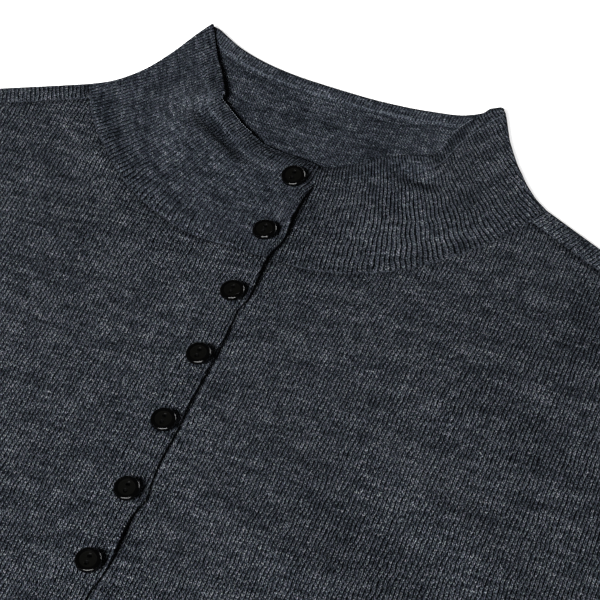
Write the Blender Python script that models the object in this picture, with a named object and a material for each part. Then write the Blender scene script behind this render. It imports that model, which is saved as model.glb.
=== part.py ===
"""A knitted pullover with a funnel collar and a buttoned placket, laid flat on its back.

x runs to the wearer's left, y towards the neck and z up, from the surface that the back lies on. The
tables are in millimetres, with x from the centre front and y from the first button, and place() moves every
piece so that y = 0 is the middle of the whole outline. Half tables give the wearer's left side, and the
other side mirrors them.
"""

import math

import bmesh
import bpy
import numpy as np

MM = 0.001

# Cloth: one knitted layer, the collar's turned edge, and the air that parts layers and seams.
WALL = 1.5
WELT = 2.3
AIR = 0.3
LAYER = WALL + AIR
LOW = WALL / 2
HIGH = LOW + LAYER
FOLD_STEPS = 7
SHARP_EDGE = 50

# Body: the outline of the laid panels, one half each, as (x, y). The middles tell inside from outside.
HEM = (230, -575)
BAND_TOP = (236, -520)
UNDERARM = (250, -205)
SHOULDER = (196, -14)
NECK_POINT = (114, 25)
SHOULDER_WRAP = 10
SHOULDER_FOLD = (NECK_POINT, (130, 17.3), (160, 3.2), SHOULDER)
ARMHOLE = ((184, -60), (183, -105), (194, -150), (219, -185), UNDERARM)
ARMHOLE_STEPS = 8
SIDE_SEAM = (BAND_TOP, (242, -400), (245, -300), UNDERARM)
FRONT_NECK = ((0, -50), (40, -45), (68, -31), (88.5, -12.3), (100, 0.5), (109.8, 15.8))
BACK_NECK = ((0, 2), (45, 5), (80, 11), (102, 18.5), NECK_POINT)
BODY_MIDDLE = (0, -300)
COLLAR_MIDDLE = (0, 40)

# Placket: the wearer's right side laps over the left, and both laps are knitted in one with their sides.
OVERLAP_EDGE = 8.5
UNDERLAP_EDGE = -9
LAP_RISE = (-23, -11)
SLIT_END = -306
UNDERLAP_FOOT = -294

# Grids: columns of the panels as x from the centre front, and rows as y on the centre line.
NECK_COLUMNS = (42, 59, 74, 87, 98)
RIGHT_COLUMNS = (OVERLAP_EDGE, -1, LAP_RISE[1], -17, -24)
LEFT_COLUMNS = (OVERLAP_EDGE, 25)
UNDERLAP_COLUMNS = (UNDERLAP_EDGE, -0.25, OVERLAP_EDGE)
SHOULDER_COLUMNS = 5
LOWER_ROWS = (-520, -490, -460, -430, -400, -370, -340, -320, SLIT_END, UNDERLAP_FOOT, -270, -245, -220)
UPPER_ROWS = (-195, -170, -145, -120, -96, -72)
BACK_ROWS = 8
BACK_NECK_COLUMNS = 7
BAND_COLUMNS = 13
READ_STEPS = 100

# Collar: its side fold from the shoulder to the top, and its top edge on each part, as (x, y).
COLLAR_FOLD = (NECK_POINT, (105.6, 30.2), (94.2, 42.5), (85, 60), (80.5, 71.5), (75, 84))
RIGHT_EDGE = ((OVERLAP_EDGE, 12), (-15.4, 12.6), (-36.6, 25), (-50.5, 36.8), (-63, 59.7), (-75, 84))
LEFT_EDGE = (
    (UNDERLAP_EDGE, 11), (8.5, 15), (24.9, 21.2), (42.2, 27.9), (54.5, 34.7), (61.1, 51.2), (75, 84),
)
BACK_EDGE = (
    (-75, 84), (-64.7, 79.3), (-49.2, 71.8), (-22.2, 66), (2.8, 64.6), (27, 64.7), (50, 67.9), (75, 84),
)
COLLAR_ROWS = (0, 0.15, 0.3, 0.45, 0.6, 0.76, 0.905, 0.925, 0.985, 1)
WELT_START = 0.91
ROUNDED_EDGE = 1.3
# Over this stretch of y the front's turned edge comes to lie on the back's turned edge.
WELTS_MEET = (68, 76)

# Sleeves: one fold runs from the shoulder and one from the underarm, at these angles in degrees.
CUFF_TOP = (636, -336)
CUFF_WIDTH = 92
CUFF_END_WIDTH = 88
CUFF_LENGTH = 55
TOP_FOLD_ANGLE = -24
UNDERARM_FOLD_ANGLE = -18
CUFF_ANGLE = -48
SLEEVE_ROWS = 18
UNDERARM_CLEAR = 1.3

# Soft ridges in the upper layer: middle x and y, direction in degrees, length, width and height.
RIDGES = (
    (-150, -190, 35, 150, 16, 2.2),
    (-120, -262, 22, 170, 20, 1.8),
    (-70, -400, 12, 150, 22, 1.6),
    (130, -225, 146, 150, 17, 2.3),
    (105, -330, 160, 150, 21, 1.7),
    (140, -430, 172, 130, 20, 1.9),
    (-165, -455, 8, 130, 19, 1.7),
    (262, -135, 100, 100, 15, 2.4),
    (330, -185, 128, 110, 16, 2.1),
    (438, -255, 118, 100, 15, 2.3),
    (520, -300, 140, 110, 14, 1.8),
    (-258, -130, 82, 100, 16, 2.3),
    (-345, -190, 55, 110, 15, 2.2),
    (-455, -262, 66, 110, 16, 2.0),
    (-540, -322, 40, 100, 14, 2.2),
)
# The wearer's right front edge of the collar stands off the back: middle x and y, radius and height.
STANDING_EDGE = (-50, 40, 24, 1.9)

# Buttons: two-hole and dished, turned from (radius, height), over the face and back along the underside.
BUTTON_COUNT = 8
FIRST_PITCH = 35.9
PITCH = 39.1
BUTTON_PROFILE = (
    (0, 1.5), (2.6, 1.5), (3.7, 1.75), (4.4, 2.4), (5.0, 2.5),
    (5.5, 2.2), (5.7, 1.6), (5.4, 0.8), (4.3, 0), (0, 0),
)
BUTTON_STEPS = 20
BUTTON_FOOT = 4.3
HOLE_RADIUS = 0.65
HOLE_SPACING = 2.6
HOLE_SIDES = 10
DRILL_LENGTH = 10
BUTTON_TILTS = ((-1, -1), (3, -4), (3, -4), (2, -4), (1, -1), (1, 1), (1, -1), (0, 1))

MIDDLE_Y = (COLLAR_FOLD[-1][1] + HEM[1]) / 2


def curve(points, shares):
    """The points at these shares of the length of a smooth curve through a table's points."""
    knots = np.array(points, float)
    along = np.concatenate([[0], np.cumsum(np.linalg.norm(np.diff(knots, axis=0), axis=1))])
    along /= along[-1]
    slopes = np.gradient(knots, along, axis=0)
    shares = np.asarray(shares, float)
    i = np.clip(np.searchsorted(along, shares, side="right") - 1, 0, len(along) - 2)
    step = (along[i + 1] - along[i])[:, None]
    t = ((shares - along[i])[:, None]) / step
    rise = 3 * t**2 - 2 * t**3
    ends = (1 - rise) * knots[i] + rise * knots[i + 1]
    return ends + step * ((t - 2 * t**2 + t**3) * slopes[i] + (t**3 - t**2) * slopes[i + 1])


def even(points, count):
    return curve(points, np.linspace(0, 1, count))


def smooth_step(value):
    t = np.clip(value, 0, 1)
    return t * t * (3 - 2 * t)


def heading(angle):
    """The unit vector in plan at an angle in degrees."""
    return np.array([math.cos(math.radians(angle)), math.sin(math.radians(angle))])


def bow(start, end, first_angle, last_angle, count):
    """Points on a smooth line that leaves start and reaches end at the given angles in degrees."""
    start, end = np.array(start, float), np.array(end, float)
    reach = np.linalg.norm(end - start)
    leave, arrive = reach * heading(first_angle), reach * heading(last_angle)
    t = np.linspace(0, 1, count)[:, None]
    rise = 3 * t**2 - 2 * t**3
    return (1 - rise) * start + rise * end + (t - 2 * t**2 + t**3) * leave + (t**3 - t**2) * arrive


def shares_of(points):
    steps = np.linalg.norm(np.diff(points, axis=0), axis=1)
    return np.concatenate([[0], np.cumsum(steps)]) / steps.sum()


def stretched(bottom, top, left, right):
    """A grid of plan points inside four edges: rows run from the left to the right, bottom row first."""
    u = ((shares_of(bottom) + shares_of(top)) / 2)[None, :, None]
    v = ((shares_of(left) + shares_of(right)) / 2)[:, None, None]
    across = (1 - u) * left[:, None] + u * right[:, None]
    along = (1 - v) * bottom[None] + v * top[None]
    corners = (1 - v) * ((1 - u) * bottom[0] + u * bottom[-1]) + v * ((1 - u) * top[0] + u * top[-1])
    return across + along - corners


def outward(points, inside):
    """Unit vectors in plan, square to a line and pointing away from a point inside."""
    run = np.gradient(points, axis=0)
    normals = np.stack([run[:, 1], -run[:, 0]], axis=1)
    normals /= np.linalg.norm(normals, axis=1)[:, None]
    away = ((points - inside) * normals).sum(axis=1)
    return normals * np.where(away < 0, -1, 1)[:, None]


def lift(x, y):
    """How far the laid ridges and the standing collar edge raise the upper layer."""
    height = np.zeros(np.shape(x))
    for middle_x, middle_y, direction, length, width, most in RIDGES:
        turn = math.radians(direction)
        along = (x - middle_x) * math.cos(turn) + (y - middle_y) * math.sin(turn)
        off = (y - middle_y) * math.cos(turn) - (x - middle_x) * math.sin(turn)
        height = height + most * np.exp(-((off / width) ** 2) - (2 * along / length) ** 4)
    return height


def standing(x, y):
    middle_x, middle_y, radius, most = STANDING_EDGE
    return most * np.exp(-((x - middle_x) ** 2 + (y - middle_y) ** 2) / radius**2)


def lapped(x, y):
    """How much of a layer the overlap is raised by, from none to all, as it comes up onto the underlap."""
    across = smooth_step((x - LAP_RISE[0]) / (LAP_RISE[1] - LAP_RISE[0]))
    return across * smooth_step((y - SLIT_END) / (UNDERLAP_FOOT - SLIT_END))


def laid(plan, middle, side, thick=WALL):
    """A patch that lies flat: its points in mid wall, the way its outer face looks, and its thickness."""
    points = np.dstack([plan, np.broadcast_to(middle, plan.shape[:2])])
    faces = np.zeros_like(points)
    faces[..., 2] = side
    return points, faces, np.broadcast_to(np.asarray(thick, float), plan.shape[:2]).copy()


def folded(edge, away, low, high, thick=WALL):
    """A patch that turns round a fold: edge is the fold's outermost middle line in plan."""
    low, high = np.broadcast_to(low, len(edge)), np.broadcast_to(high, len(edge))
    radius, centre = (high - low) / 2, (high + low) / 2
    turns = np.linspace(-math.pi / 2, math.pi / 2, FOLD_STEPS)
    points = np.zeros((len(turns), len(edge), 3))
    faces = np.zeros_like(points)
    for k, turn in enumerate(turns):
        points[k, :, :2] = edge + away * (radius * (math.cos(turn) - 1))[:, None]
        points[k, :, 2] = centre + radius * math.sin(turn)
        faces[k, :, :2] = away * math.cos(turn)
        faces[k, :, 2] = math.sin(turn)
    return points, faces, np.broadcast_to(thick, points.shape[:2]).copy()


def place(points):
    """From the tables' millimetres to the part's metres, with y = 0 in the middle of the outline."""
    return (np.asarray(points, float) - (0, MIDDLE_Y, 0)) * MM


def cut_back(points, open_edges):
    """Draws every free edge of a middle surface in by half the air, so that pieces part at their seams."""
    inward = {}
    for (first, second), centre in open_edges.items():
        run = points[second] - points[first]
        run /= np.linalg.norm(run)
        step = centre - points[first]
        step -= run * (step @ run)
        step /= np.linalg.norm(step)
        inward.setdefault(first, []).append(step)
        inward.setdefault(second, []).append(step)
    moved = points.copy()
    for vertex, steps in inward.items():
        total = np.sum(steps, axis=0)
        if total @ total > 0.5:
            moved[vertex] += total * AIR / (total @ total)
    return moved


def cloth(name, patches, material):
    """One closed wall from patches that share their edges."""
    numbers, points, faces, thick, quads = {}, [], [], [], []
    for patch_points, patch_faces, patch_thick in patches:
        grid = np.zeros(patch_thick.shape, int)
        for i, j in np.ndindex(*grid.shape):
            key = tuple(np.round(patch_points[i, j], 3) + 0.0)
            if key not in numbers:
                numbers[key] = len(points)
                points.append(patch_points[i, j])
                faces.append(patch_faces[i, j])
                thick.append(patch_thick[i, j])
            grid[i, j] = numbers[key]
        for i, j in np.ndindex(grid.shape[0] - 1, grid.shape[1] - 1):
            quads.append((grid[i, j], grid[i, j + 1], grid[i + 1, j + 1], grid[i + 1, j]))
    points, faces, thick = np.array(points), np.array(faces), np.array(thick)
    open_edges = {}
    for quad in quads:
        centre = points[list(quad)].mean(axis=0)
        for first, second in zip(quad, quad[1:] + quad[:1]):
            if (second, first) in open_edges or (first, second) in open_edges:
                open_edges.pop((second, first), None)
                open_edges.pop((first, second), None)
            else:
                open_edges[first, second] = centre
    points = cut_back(points, open_edges)
    reach = faces * thick[:, None] / 2
    mesh = bmesh.new()
    outer = [mesh.verts.new(point) for point in place(points + reach)]
    inner = [mesh.verts.new(point) for point in place(points - reach)]
    for quad in quads:
        mesh.faces.new([outer[k] for k in quad])
        mesh.faces.new([inner[k] for k in reversed(quad)])
    for first, second in open_edges:
        mesh.faces.new([outer[first], inner[first], inner[second], outer[second]])
    bmesh.ops.recalc_face_normals(mesh, faces=mesh.faces)
    finished(name, mesh, material)


def finished(name, mesh, material):
    """A smooth-shaded object from a bmesh, in the scene."""
    data = bpy.data.meshes.new(name)
    mesh.to_mesh(data)
    mesh.free()
    data.materials.append(material)
    data.shade_smooth()
    data.set_sharp_from_angle(angle=math.radians(SHARP_EDGE))
    shape = bpy.data.objects.new(name, data)
    bpy.context.scene.collection.objects.link(shape)
    return shape


def finish_of(name, hex_colour, roughness):
    """A plain material from an sRGB colour."""
    values = [int(hex_colour[i : i + 2], 16) / 255 for i in (1, 3, 5)]
    colour = [v / 12.92 if v <= 0.04045 else ((v + 0.055) / 1.055) ** 2.4 for v in values]
    material = bpy.data.materials.new(name)
    material.use_nodes = True
    shader = material.node_tree.nodes["Principled BSDF"]
    shader.inputs["Base Color"].default_value = (*colour, 1)
    shader.inputs["Roughness"].default_value = roughness
    shader.inputs["Metallic"].default_value = 0
    return material


# The lines that pieces share are sampled once, so that both sides of a seam have the same points.
NECK_LINE = even(FRONT_NECK, READ_STEPS)
FOLD_LINE = even(SHOULDER_FOLD, SHOULDER_COLUMNS)
FOLD_AWAY = outward(FOLD_LINE, BODY_MIDDLE)
SHOULDER_SEAM = FOLD_LINE - FOLD_AWAY * SHOULDER_WRAP
ARMHOLE_LINE = np.concatenate([[SHOULDER], even((SHOULDER_SEAM[-1],) + ARMHOLE, ARMHOLE_STEPS)])
SIDE_LINE = curve(SIDE_SEAM, shares_of(np.array([(0, y) for y in LOWER_ROWS], float)))


def neck_y(x):
    """The height of the front neck seam at a column."""
    return np.interp(np.abs(x), NECK_LINE[:, 0], NECK_LINE[:, 1])


def neck_seam(side, first):
    """The front neck seam from the column at x = first out to the shoulder seam."""
    out = np.array([(x, neck_y(x)) for x in NECK_COLUMNS] + [tuple(SHOULDER_SEAM[0])])
    return np.concatenate([[(first, neck_y(first))], out * (side, 1)])


def columns_up(columns, rows):
    """Straight columns from the band to the neck seam, with these heights on the centre line."""
    shares = (np.array(rows, float) - BAND_TOP[1]) / (neck_y(0) - BAND_TOP[1])
    x = np.broadcast_to(np.array(columns, float), (len(rows), len(columns)))
    return np.dstack([x, BAND_TOP[1] + shares[:, None] * (neck_y(x) - BAND_TOP[1])])


def make_front(material):
    """The front, one panel that parts at the slit, with the underlap beyond the left side's edge."""
    rows = LOWER_ROWS + UPPER_ROWS + (neck_y(0),)
    edge = np.concatenate([SIDE_LINE, ARMHOLE_LINE[::-1][1:-1]])
    patches = []
    for side, columns in ((-1, RIGHT_COLUMNS), (1, LEFT_COLUMNS)):
        near = columns_up(columns, rows)
        top = np.concatenate([neck_seam(side, columns[-1]), SHOULDER_SEAM[1:] * (side, 1)])
        hem = np.linspace(near[0, -1], edge[0] * (side, 1), len(top))
        far = stretched(hem, top, near[:, -1], edge * (side, 1))
        plan = np.concatenate([near[:, :-1], far], axis=1)
        x, y = plan[..., 0], plan[..., 1]
        rise = LAYER * lapped(x, y) if side < 0 else 0
        patches.append(laid(plan, HIGH + lift(x, y) + rise, 1))
    lap = columns_up(UNDERLAP_COLUMNS, rows[LOWER_ROWS.index(UNDERLAP_FOOT):])
    patches.append(laid(lap, HIGH, 1))
    cloth("front", patches, material)


def make_back(material):
    """The back, which turns forward over each shoulder as far as the shoulder seam."""
    radius = (HIGH - LOW) / 2
    turn = FOLD_LINE - FOLD_AWAY * radius
    half = np.concatenate([even(BACK_NECK, BACK_NECK_COLUMNS)[:-1], turn])
    top = np.concatenate([(half * (-1, 1))[::-1], half[1:]])
    edge = np.concatenate([even(SIDE_SEAM, BACK_ROWS), ARMHOLE_LINE[::-1][1:-1], turn[-1:]])
    hem = np.linspace(edge[0] * (-1, 1), edge[0], len(top))
    patches = [laid(stretched(hem, top, edge * (-1, 1), edge), LOW, -1)]
    for side in (-1, 1):
        patches.append(folded(FOLD_LINE * (side, 1), FOLD_AWAY * (side, 1), LOW, HIGH))
        wrap = np.stack([turn, SHOULDER_SEAM]) * (side, 1)
        patches.append(laid(wrap, HIGH + lift(wrap[..., 0], wrap[..., 1]), 1))
    cloth("back", patches, material)


def collar_front(side, columns, edge, turn):
    """The plan of one front of the collar: columns near the placket, then a grid out to the side fold."""
    shares = np.array(COLLAR_ROWS)
    read = even(edge, READ_STEPS)
    order = np.argsort(read[:, 0])
    x = np.broadcast_to(np.array(columns, float), (len(shares), len(columns)))
    top_y = np.interp(x, read[order, 0], read[order, 1])
    near = np.dstack([x, neck_y(x) + shares[:, None] * (top_y - neck_y(x))])
    bottom = np.concatenate([neck_seam(side, columns[-1]), turn[:1]])
    start = np.interp(columns[-1], read[order, 0], np.linspace(0, 1, READ_STEPS)[order])
    top = np.concatenate([curve(edge, np.linspace(start, 1, len(bottom)))[:-1], turn[-1:]])
    return np.concatenate([near[:, :-1], stretched(bottom, top, near[:, -1], turn)], axis=1)


def make_collar(material):
    """The collar, one band from the overlap's edge round the back to the underlap, folded at both sides."""
    shares = np.array(COLLAR_ROWS)
    body = np.where(shares < WELT_START, WALL, WELT)
    thick = body.copy()
    thick[-1] = ROUNDED_EDGE
    fold = curve(COLLAR_FOLD, shares)
    away = outward(fold, COLLAR_MIDDLE)
    turn = fold - away * (body[:, None] + AIR) / 2
    upper = 1.5 * body + AIR
    patches = []
    left_columns = UNDERLAP_COLUMNS + LEFT_COLUMNS[1:]
    for side, columns, edge in ((-1, RIGHT_COLUMNS, RIGHT_EDGE), (1, left_columns, LEFT_EDGE)):
        plan = collar_front(side, columns, edge, turn * (side, 1))
        x, y = plan[..., 0], plan[..., 1]
        own = body[:, None]
        below = WALL + (own - WALL) * smooth_step((y - WELTS_MEET[0]) / (WELTS_MEET[1] - WELTS_MEET[0]))
        middle = below + AIR + own / 2 + lift(x, y)
        if side < 0:
            middle += (own + AIR) * lapped(x, y) + standing(x, y)
        middle[:, -1] = upper
        patches.append(laid(plan, middle, 1, np.broadcast_to(thick[:, None], x.shape)))
        patches.append(folded(fold * (side, 1), away * (side, 1), body / 2, upper, thick))
    half = even(BACK_NECK, BACK_NECK_COLUMNS)
    bottom = np.concatenate([(half * (-1, 1))[::-1], half[1:]])
    top = even(BACK_EDGE, len(bottom))
    for row, end in ((bottom, turn[0]), (top, turn[-1])):
        row[0], row[-1] = end * (-1, 1), end
    plan = stretched(bottom, top, turn * (-1, 1), turn)
    patches.append(laid(plan, (body / 2)[:, None], -1, np.broadcast_to(thick[:, None], plan.shape[:2])))
    cloth("collar", patches, material)


def tube(name, start, end, top_fold, low_fold, material):
    """A flat tube between two fold lines, from its start line to its end line, as a sleeve or cuff lies."""
    centre = (top_fold.mean(axis=0) + low_fold.mean(axis=0)) / 2
    radius = (HIGH - LOW) / 2
    folds = [(line, outward(line, centre)) for line in (top_fold, low_fold)]
    turns = [line - away * radius for line, away in folds]
    start, end = start.copy(), end.copy()
    start[0], start[-1] = turns[0][0], turns[1][0]
    end[0], end[-1] = turns[0][-1], turns[1][-1]
    plan = stretched(start, end, turns[0], turns[1])
    middle = HIGH + lift(plan[..., 0], plan[..., 1])
    middle[:, [0, -1]] = HIGH
    patches = [laid(plan, middle, 1), laid(plan, LOW, -1)]
    patches += [folded(line, away, LOW, HIGH) for line, away in folds]
    cloth(name, patches, material)


def make_sleeve(word, side, material):
    """A sleeve and its cuff: two flat tubes, end to end."""
    along = heading(CUFF_ANGLE)
    across = np.array([along[1], -along[0]])
    cuff_top = np.array(CUFF_TOP, float)
    cuff_low = cuff_top + across * CUFF_WIDTH
    end_top = cuff_top + along * CUFF_LENGTH + across * (CUFF_WIDTH - CUFF_END_WIDTH) / 2
    end_low = end_top + across * CUFF_END_WIDTH
    start = ARMHOLE_LINE.copy()
    start[-1] += outward(ARMHOLE_LINE[-2:], BODY_MIDDLE)[-1] * UNDERARM_CLEAR
    top_fold = bow(start[0], cuff_top, TOP_FOLD_ANGLE, CUFF_ANGLE, SLEEVE_ROWS)
    low_fold = bow(start[-1], cuff_low, UNDERARM_FOLD_ANGLE, CUFF_ANGLE, SLEEVE_ROWS)
    wrist = np.linspace(cuff_top, cuff_low, len(start))
    hand = np.linspace(end_top, end_low, len(start))
    flip = (side, 1)
    tube("sleeve_" + word, start * flip, wrist * flip, top_fold * flip, low_fold * flip, material)
    upper = np.linspace(cuff_top, end_top, 3) * flip
    lower = np.linspace(cuff_low, end_low, 3) * flip
    tube("cuff_" + word, wrist * flip, hand * flip, upper, lower, material)


def make_hem_bands(material):
    """The bands at the hem, one on the front and one on the back."""
    for name, middle, side in (("hem_back", LOW, -1), ("hem_front", HIGH, 1)):
        lines = [np.linspace(np.array(end) * (-1, 1), end, BAND_COLUMNS) for end in (HEM, BAND_TOP)]
        lines.insert(1, (lines[0] + lines[1]) / 2)
        cloth(name, [laid(np.stack(lines), middle, side)], material)


def button_mesh(material):
    """A turned button with its two holes cut through."""
    mesh = bmesh.new()
    rim = [mesh.verts.new((radius * MM, 0, height * MM)) for radius, height in BUTTON_PROFILE]
    edges = [mesh.edges.new(pair) for pair in zip(rim, rim[1:])]
    turn = {"cent": (0, 0, 0), "axis": (0, 0, 1), "angle": 2 * math.pi}
    bmesh.ops.spin(mesh, geom=rim + edges, steps=BUTTON_STEPS, **turn)
    bmesh.ops.remove_doubles(mesh, verts=mesh.verts, dist=0.01 * MM)
    bmesh.ops.recalc_face_normals(mesh, faces=mesh.faces)
    blank = finished("button_blank", mesh, material)
    for side in (-1, 1):
        drill = bmesh.new()
        size = {"radius1": HOLE_RADIUS * MM, "radius2": HOLE_RADIUS * MM, "depth": DRILL_LENGTH * MM}
        bmesh.ops.create_cone(drill, cap_ends=True, segments=HOLE_SIDES, **size)
        bmesh.ops.translate(drill, verts=drill.verts, vec=(0, side * HOLE_SPACING / 2 * MM, 0))
        hole = blank.modifiers.new("hole", "BOOLEAN")
        hole.operation = "DIFFERENCE"
        hole.object = finished("drill", drill, material)
    bpy.context.view_layer.update()
    drilled = bpy.data.meshes.new_from_object(blank.evaluated_get(bpy.context.evaluated_depsgraph_get()))
    drilled.name = "button"
    for leftover in [hole.object for hole in blank.modifiers] + [blank]:
        bpy.data.objects.remove(leftover)
    return drilled


def make_buttons(material):
    """The buttons down the overlap, each sewn through it a little off level."""
    data = button_mesh(material)
    seat = HIGH + LAYER + WALL / 2 + AIR
    for number in range(BUTTON_COUNT):
        tilt = [math.radians(angle) for angle in BUTTON_TILTS[number]]
        button = bpy.data.objects.new(f"button_{number + 1}", data)
        y = -FIRST_PITCH - (number - 1) * PITCH if number else 0
        z = seat + BUTTON_FOOT * math.sin(math.hypot(*tilt))
        button.location = place((0, y, z))
        button.rotation_euler = (*tilt, 0)
        bpy.context.scene.collection.objects.link(button)


for leftover in list(bpy.data.objects):
    bpy.data.objects.remove(leftover)
KNIT = finish_of("charcoal marl knit", "#34373c", 0.9)
RESIN = finish_of("black resin", "#0a0a0b", 0.2)
make_back(KNIT)
make_front(KNIT)
make_collar(KNIT)
make_hem_bands(KNIT)
for word, side in (("left", 1), ("right", -1)):
    make_sleeve(word, side, KNIT)
make_buttons(RESIN)
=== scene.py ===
import math

import bmesh
import bpy
import numpy as np
from mathutils import Matrix, Vector


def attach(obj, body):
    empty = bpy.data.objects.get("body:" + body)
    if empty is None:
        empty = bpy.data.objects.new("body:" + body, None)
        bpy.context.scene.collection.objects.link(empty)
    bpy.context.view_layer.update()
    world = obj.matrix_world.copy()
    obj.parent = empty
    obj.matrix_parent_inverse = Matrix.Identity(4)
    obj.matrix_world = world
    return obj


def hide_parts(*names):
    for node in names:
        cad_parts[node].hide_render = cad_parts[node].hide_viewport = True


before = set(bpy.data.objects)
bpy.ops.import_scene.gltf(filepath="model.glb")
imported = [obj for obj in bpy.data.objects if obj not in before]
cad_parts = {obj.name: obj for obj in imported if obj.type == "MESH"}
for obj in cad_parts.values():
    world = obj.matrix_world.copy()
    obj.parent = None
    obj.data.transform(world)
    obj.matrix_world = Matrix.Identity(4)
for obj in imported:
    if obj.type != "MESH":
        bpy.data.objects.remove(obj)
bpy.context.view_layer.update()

# The camera stands over the garment's hem end and looks down at its collar, from the wearer's left, with a
# long lens. It was fitted to the seven buttons that show and to the collar's outline.
AZIMUTH = math.radians(20.84)
ELEVATION = math.radians(48.99)
ROLL = math.radians(0.235)
LOOK_AT = Vector((0.03004, 0.1756, 0.0074))
STAND_OFF = 1.1704


def placed(name, data):
    """A new object in the scene."""
    made = bpy.data.objects.new(name, data)
    bpy.context.scene.collection.objects.link(made)
    return made


photo_lens = bpy.data.cameras.new("photo lens")
photo_lens.sensor_width = 36
photo_lens.lens = 159.17
photo_lens.clip_start = 0.05
camera = placed("camera", photo_lens)
bpy.context.scene.camera = camera
away = Vector((
    math.sin(AZIMUTH) * math.cos(ELEVATION),
    -math.cos(AZIMUTH) * math.cos(ELEVATION),
    math.sin(ELEVATION),
))
level = Vector((math.cos(AZIMUTH), math.sin(AZIMUTH), 0))
right = level * math.cos(ROLL) + away.cross(level) * math.sin(ROLL)
facing = Matrix((right, away.cross(right), away)).transposed().to_4x4()
camera.matrix_world = Matrix.Translation(LOOK_AT + away * STAND_OFF) @ facing


# The yarn is a charcoal marl: fine wool of dark and pale grey fibres, spun together, with a faint blue cast.
# Every knitted piece is made of it, in stocking stitch, whose face shows columns of small V-shaped stitches.
# The knit's pattern lies on each piece's own UV map, in millimetres: x across the wales and y along them.
MM = 0.001
WALE = 1.76
COURSE = 1.59
YARN_DARK = "#000000"
YARN_MIDDLE = "#1e2228"
YARN_GREY = "#4b5059"
YARN_PALE = "#a6a9ae"
HUE_SPREAD = 0.65
WOOL_ROUGHNESS = 0.9
WOOL_GLOSS = 0.02
# The body's knit: how deep its furrows and the gaps between its stitches get, also painted into their colour
# as dark shade, and how light its yarn is.
PLAIN_FURROW = 0.98
PLAIN_STITCH = 0.6
PLAIN_TONE = 0.628
# How much lighter or darker the knit gets by how a stitch's fibres lie and by the yarn's streaks and blotches,
# and how much light and shade is painted where a table marks it, which also closes or opens the furrows there.
FLECK_TONE = 0.2
STREAK_TONE = 0.75
BLOTCH_TONE = 0.5
PAINTED_LIGHT_TONE = 0.16
PAINTED_LIGHT_FURROW = -0.8
FURROW_VARIES = 4.0
# How far a wale strays from its line, how often, and how high the arches of the reverse are.
WANDER = 2.0
WANDER_SCALE = 0.12
PURL_ARCH = 0.3


def linear(hex_colour):
    """A linear colour from sRGB hex."""
    values = [int(hex_colour[i : i + 2], 16) / 255 for i in (1, 3, 5)]
    return [v / 12.92 if v <= 0.04045 else ((v + 0.055) / 1.055) ** 2.4 for v in values] + [1]


def add(tree, kind, inputs=(), **settings):
    """Adds a node, with its settings and what goes into it: sockets by number or name, values or links."""
    node = tree.nodes.new(kind)
    for name, value in settings.items():
        setattr(node, name, value)
    named = inputs.items() if isinstance(inputs, dict) else enumerate(inputs)
    for key, value in named:
        if isinstance(value, bpy.types.NodeSocket):
            tree.links.new(value, node.inputs[key])
        elif value is not None:
            node.inputs[key].default_value = value
    return node.outputs


def ramp_of(tree, value, *stops):
    """A colour ramp with these stops: places from 0 to 1, each with its hex colour."""
    ramp = add(tree, "ShaderNodeValToRGB", (value,))
    elements = ramp[0].node.color_ramp.elements
    while len(elements) < len(stops):
        elements.new(0.5)
    for element, (at, colour) in zip(elements, stops):
        element.position, element.color = at, linear(colour)
    return ramp["Color"]


def blank_material(name):
    """A material whose nodes are still to come, and their tree."""
    material = bpy.data.materials.new(name)
    material.use_nodes = True
    material.node_tree.nodes.clear()
    return material, material.node_tree


def surfaced(tree, colour, roughness, gloss, more):
    """Ends a material's nodes with its surface. gloss is the specular level, and more holds other inputs."""
    values = {"Base Color": colour, "Roughness": roughness, "IOR": 1.5, "Specular IOR Level": gloss, **more}
    shader = add(tree, "ShaderNodeBsdfPrincipled", values)[0]
    add(tree, "ShaderNodeOutputMaterial", (shader,))


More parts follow.
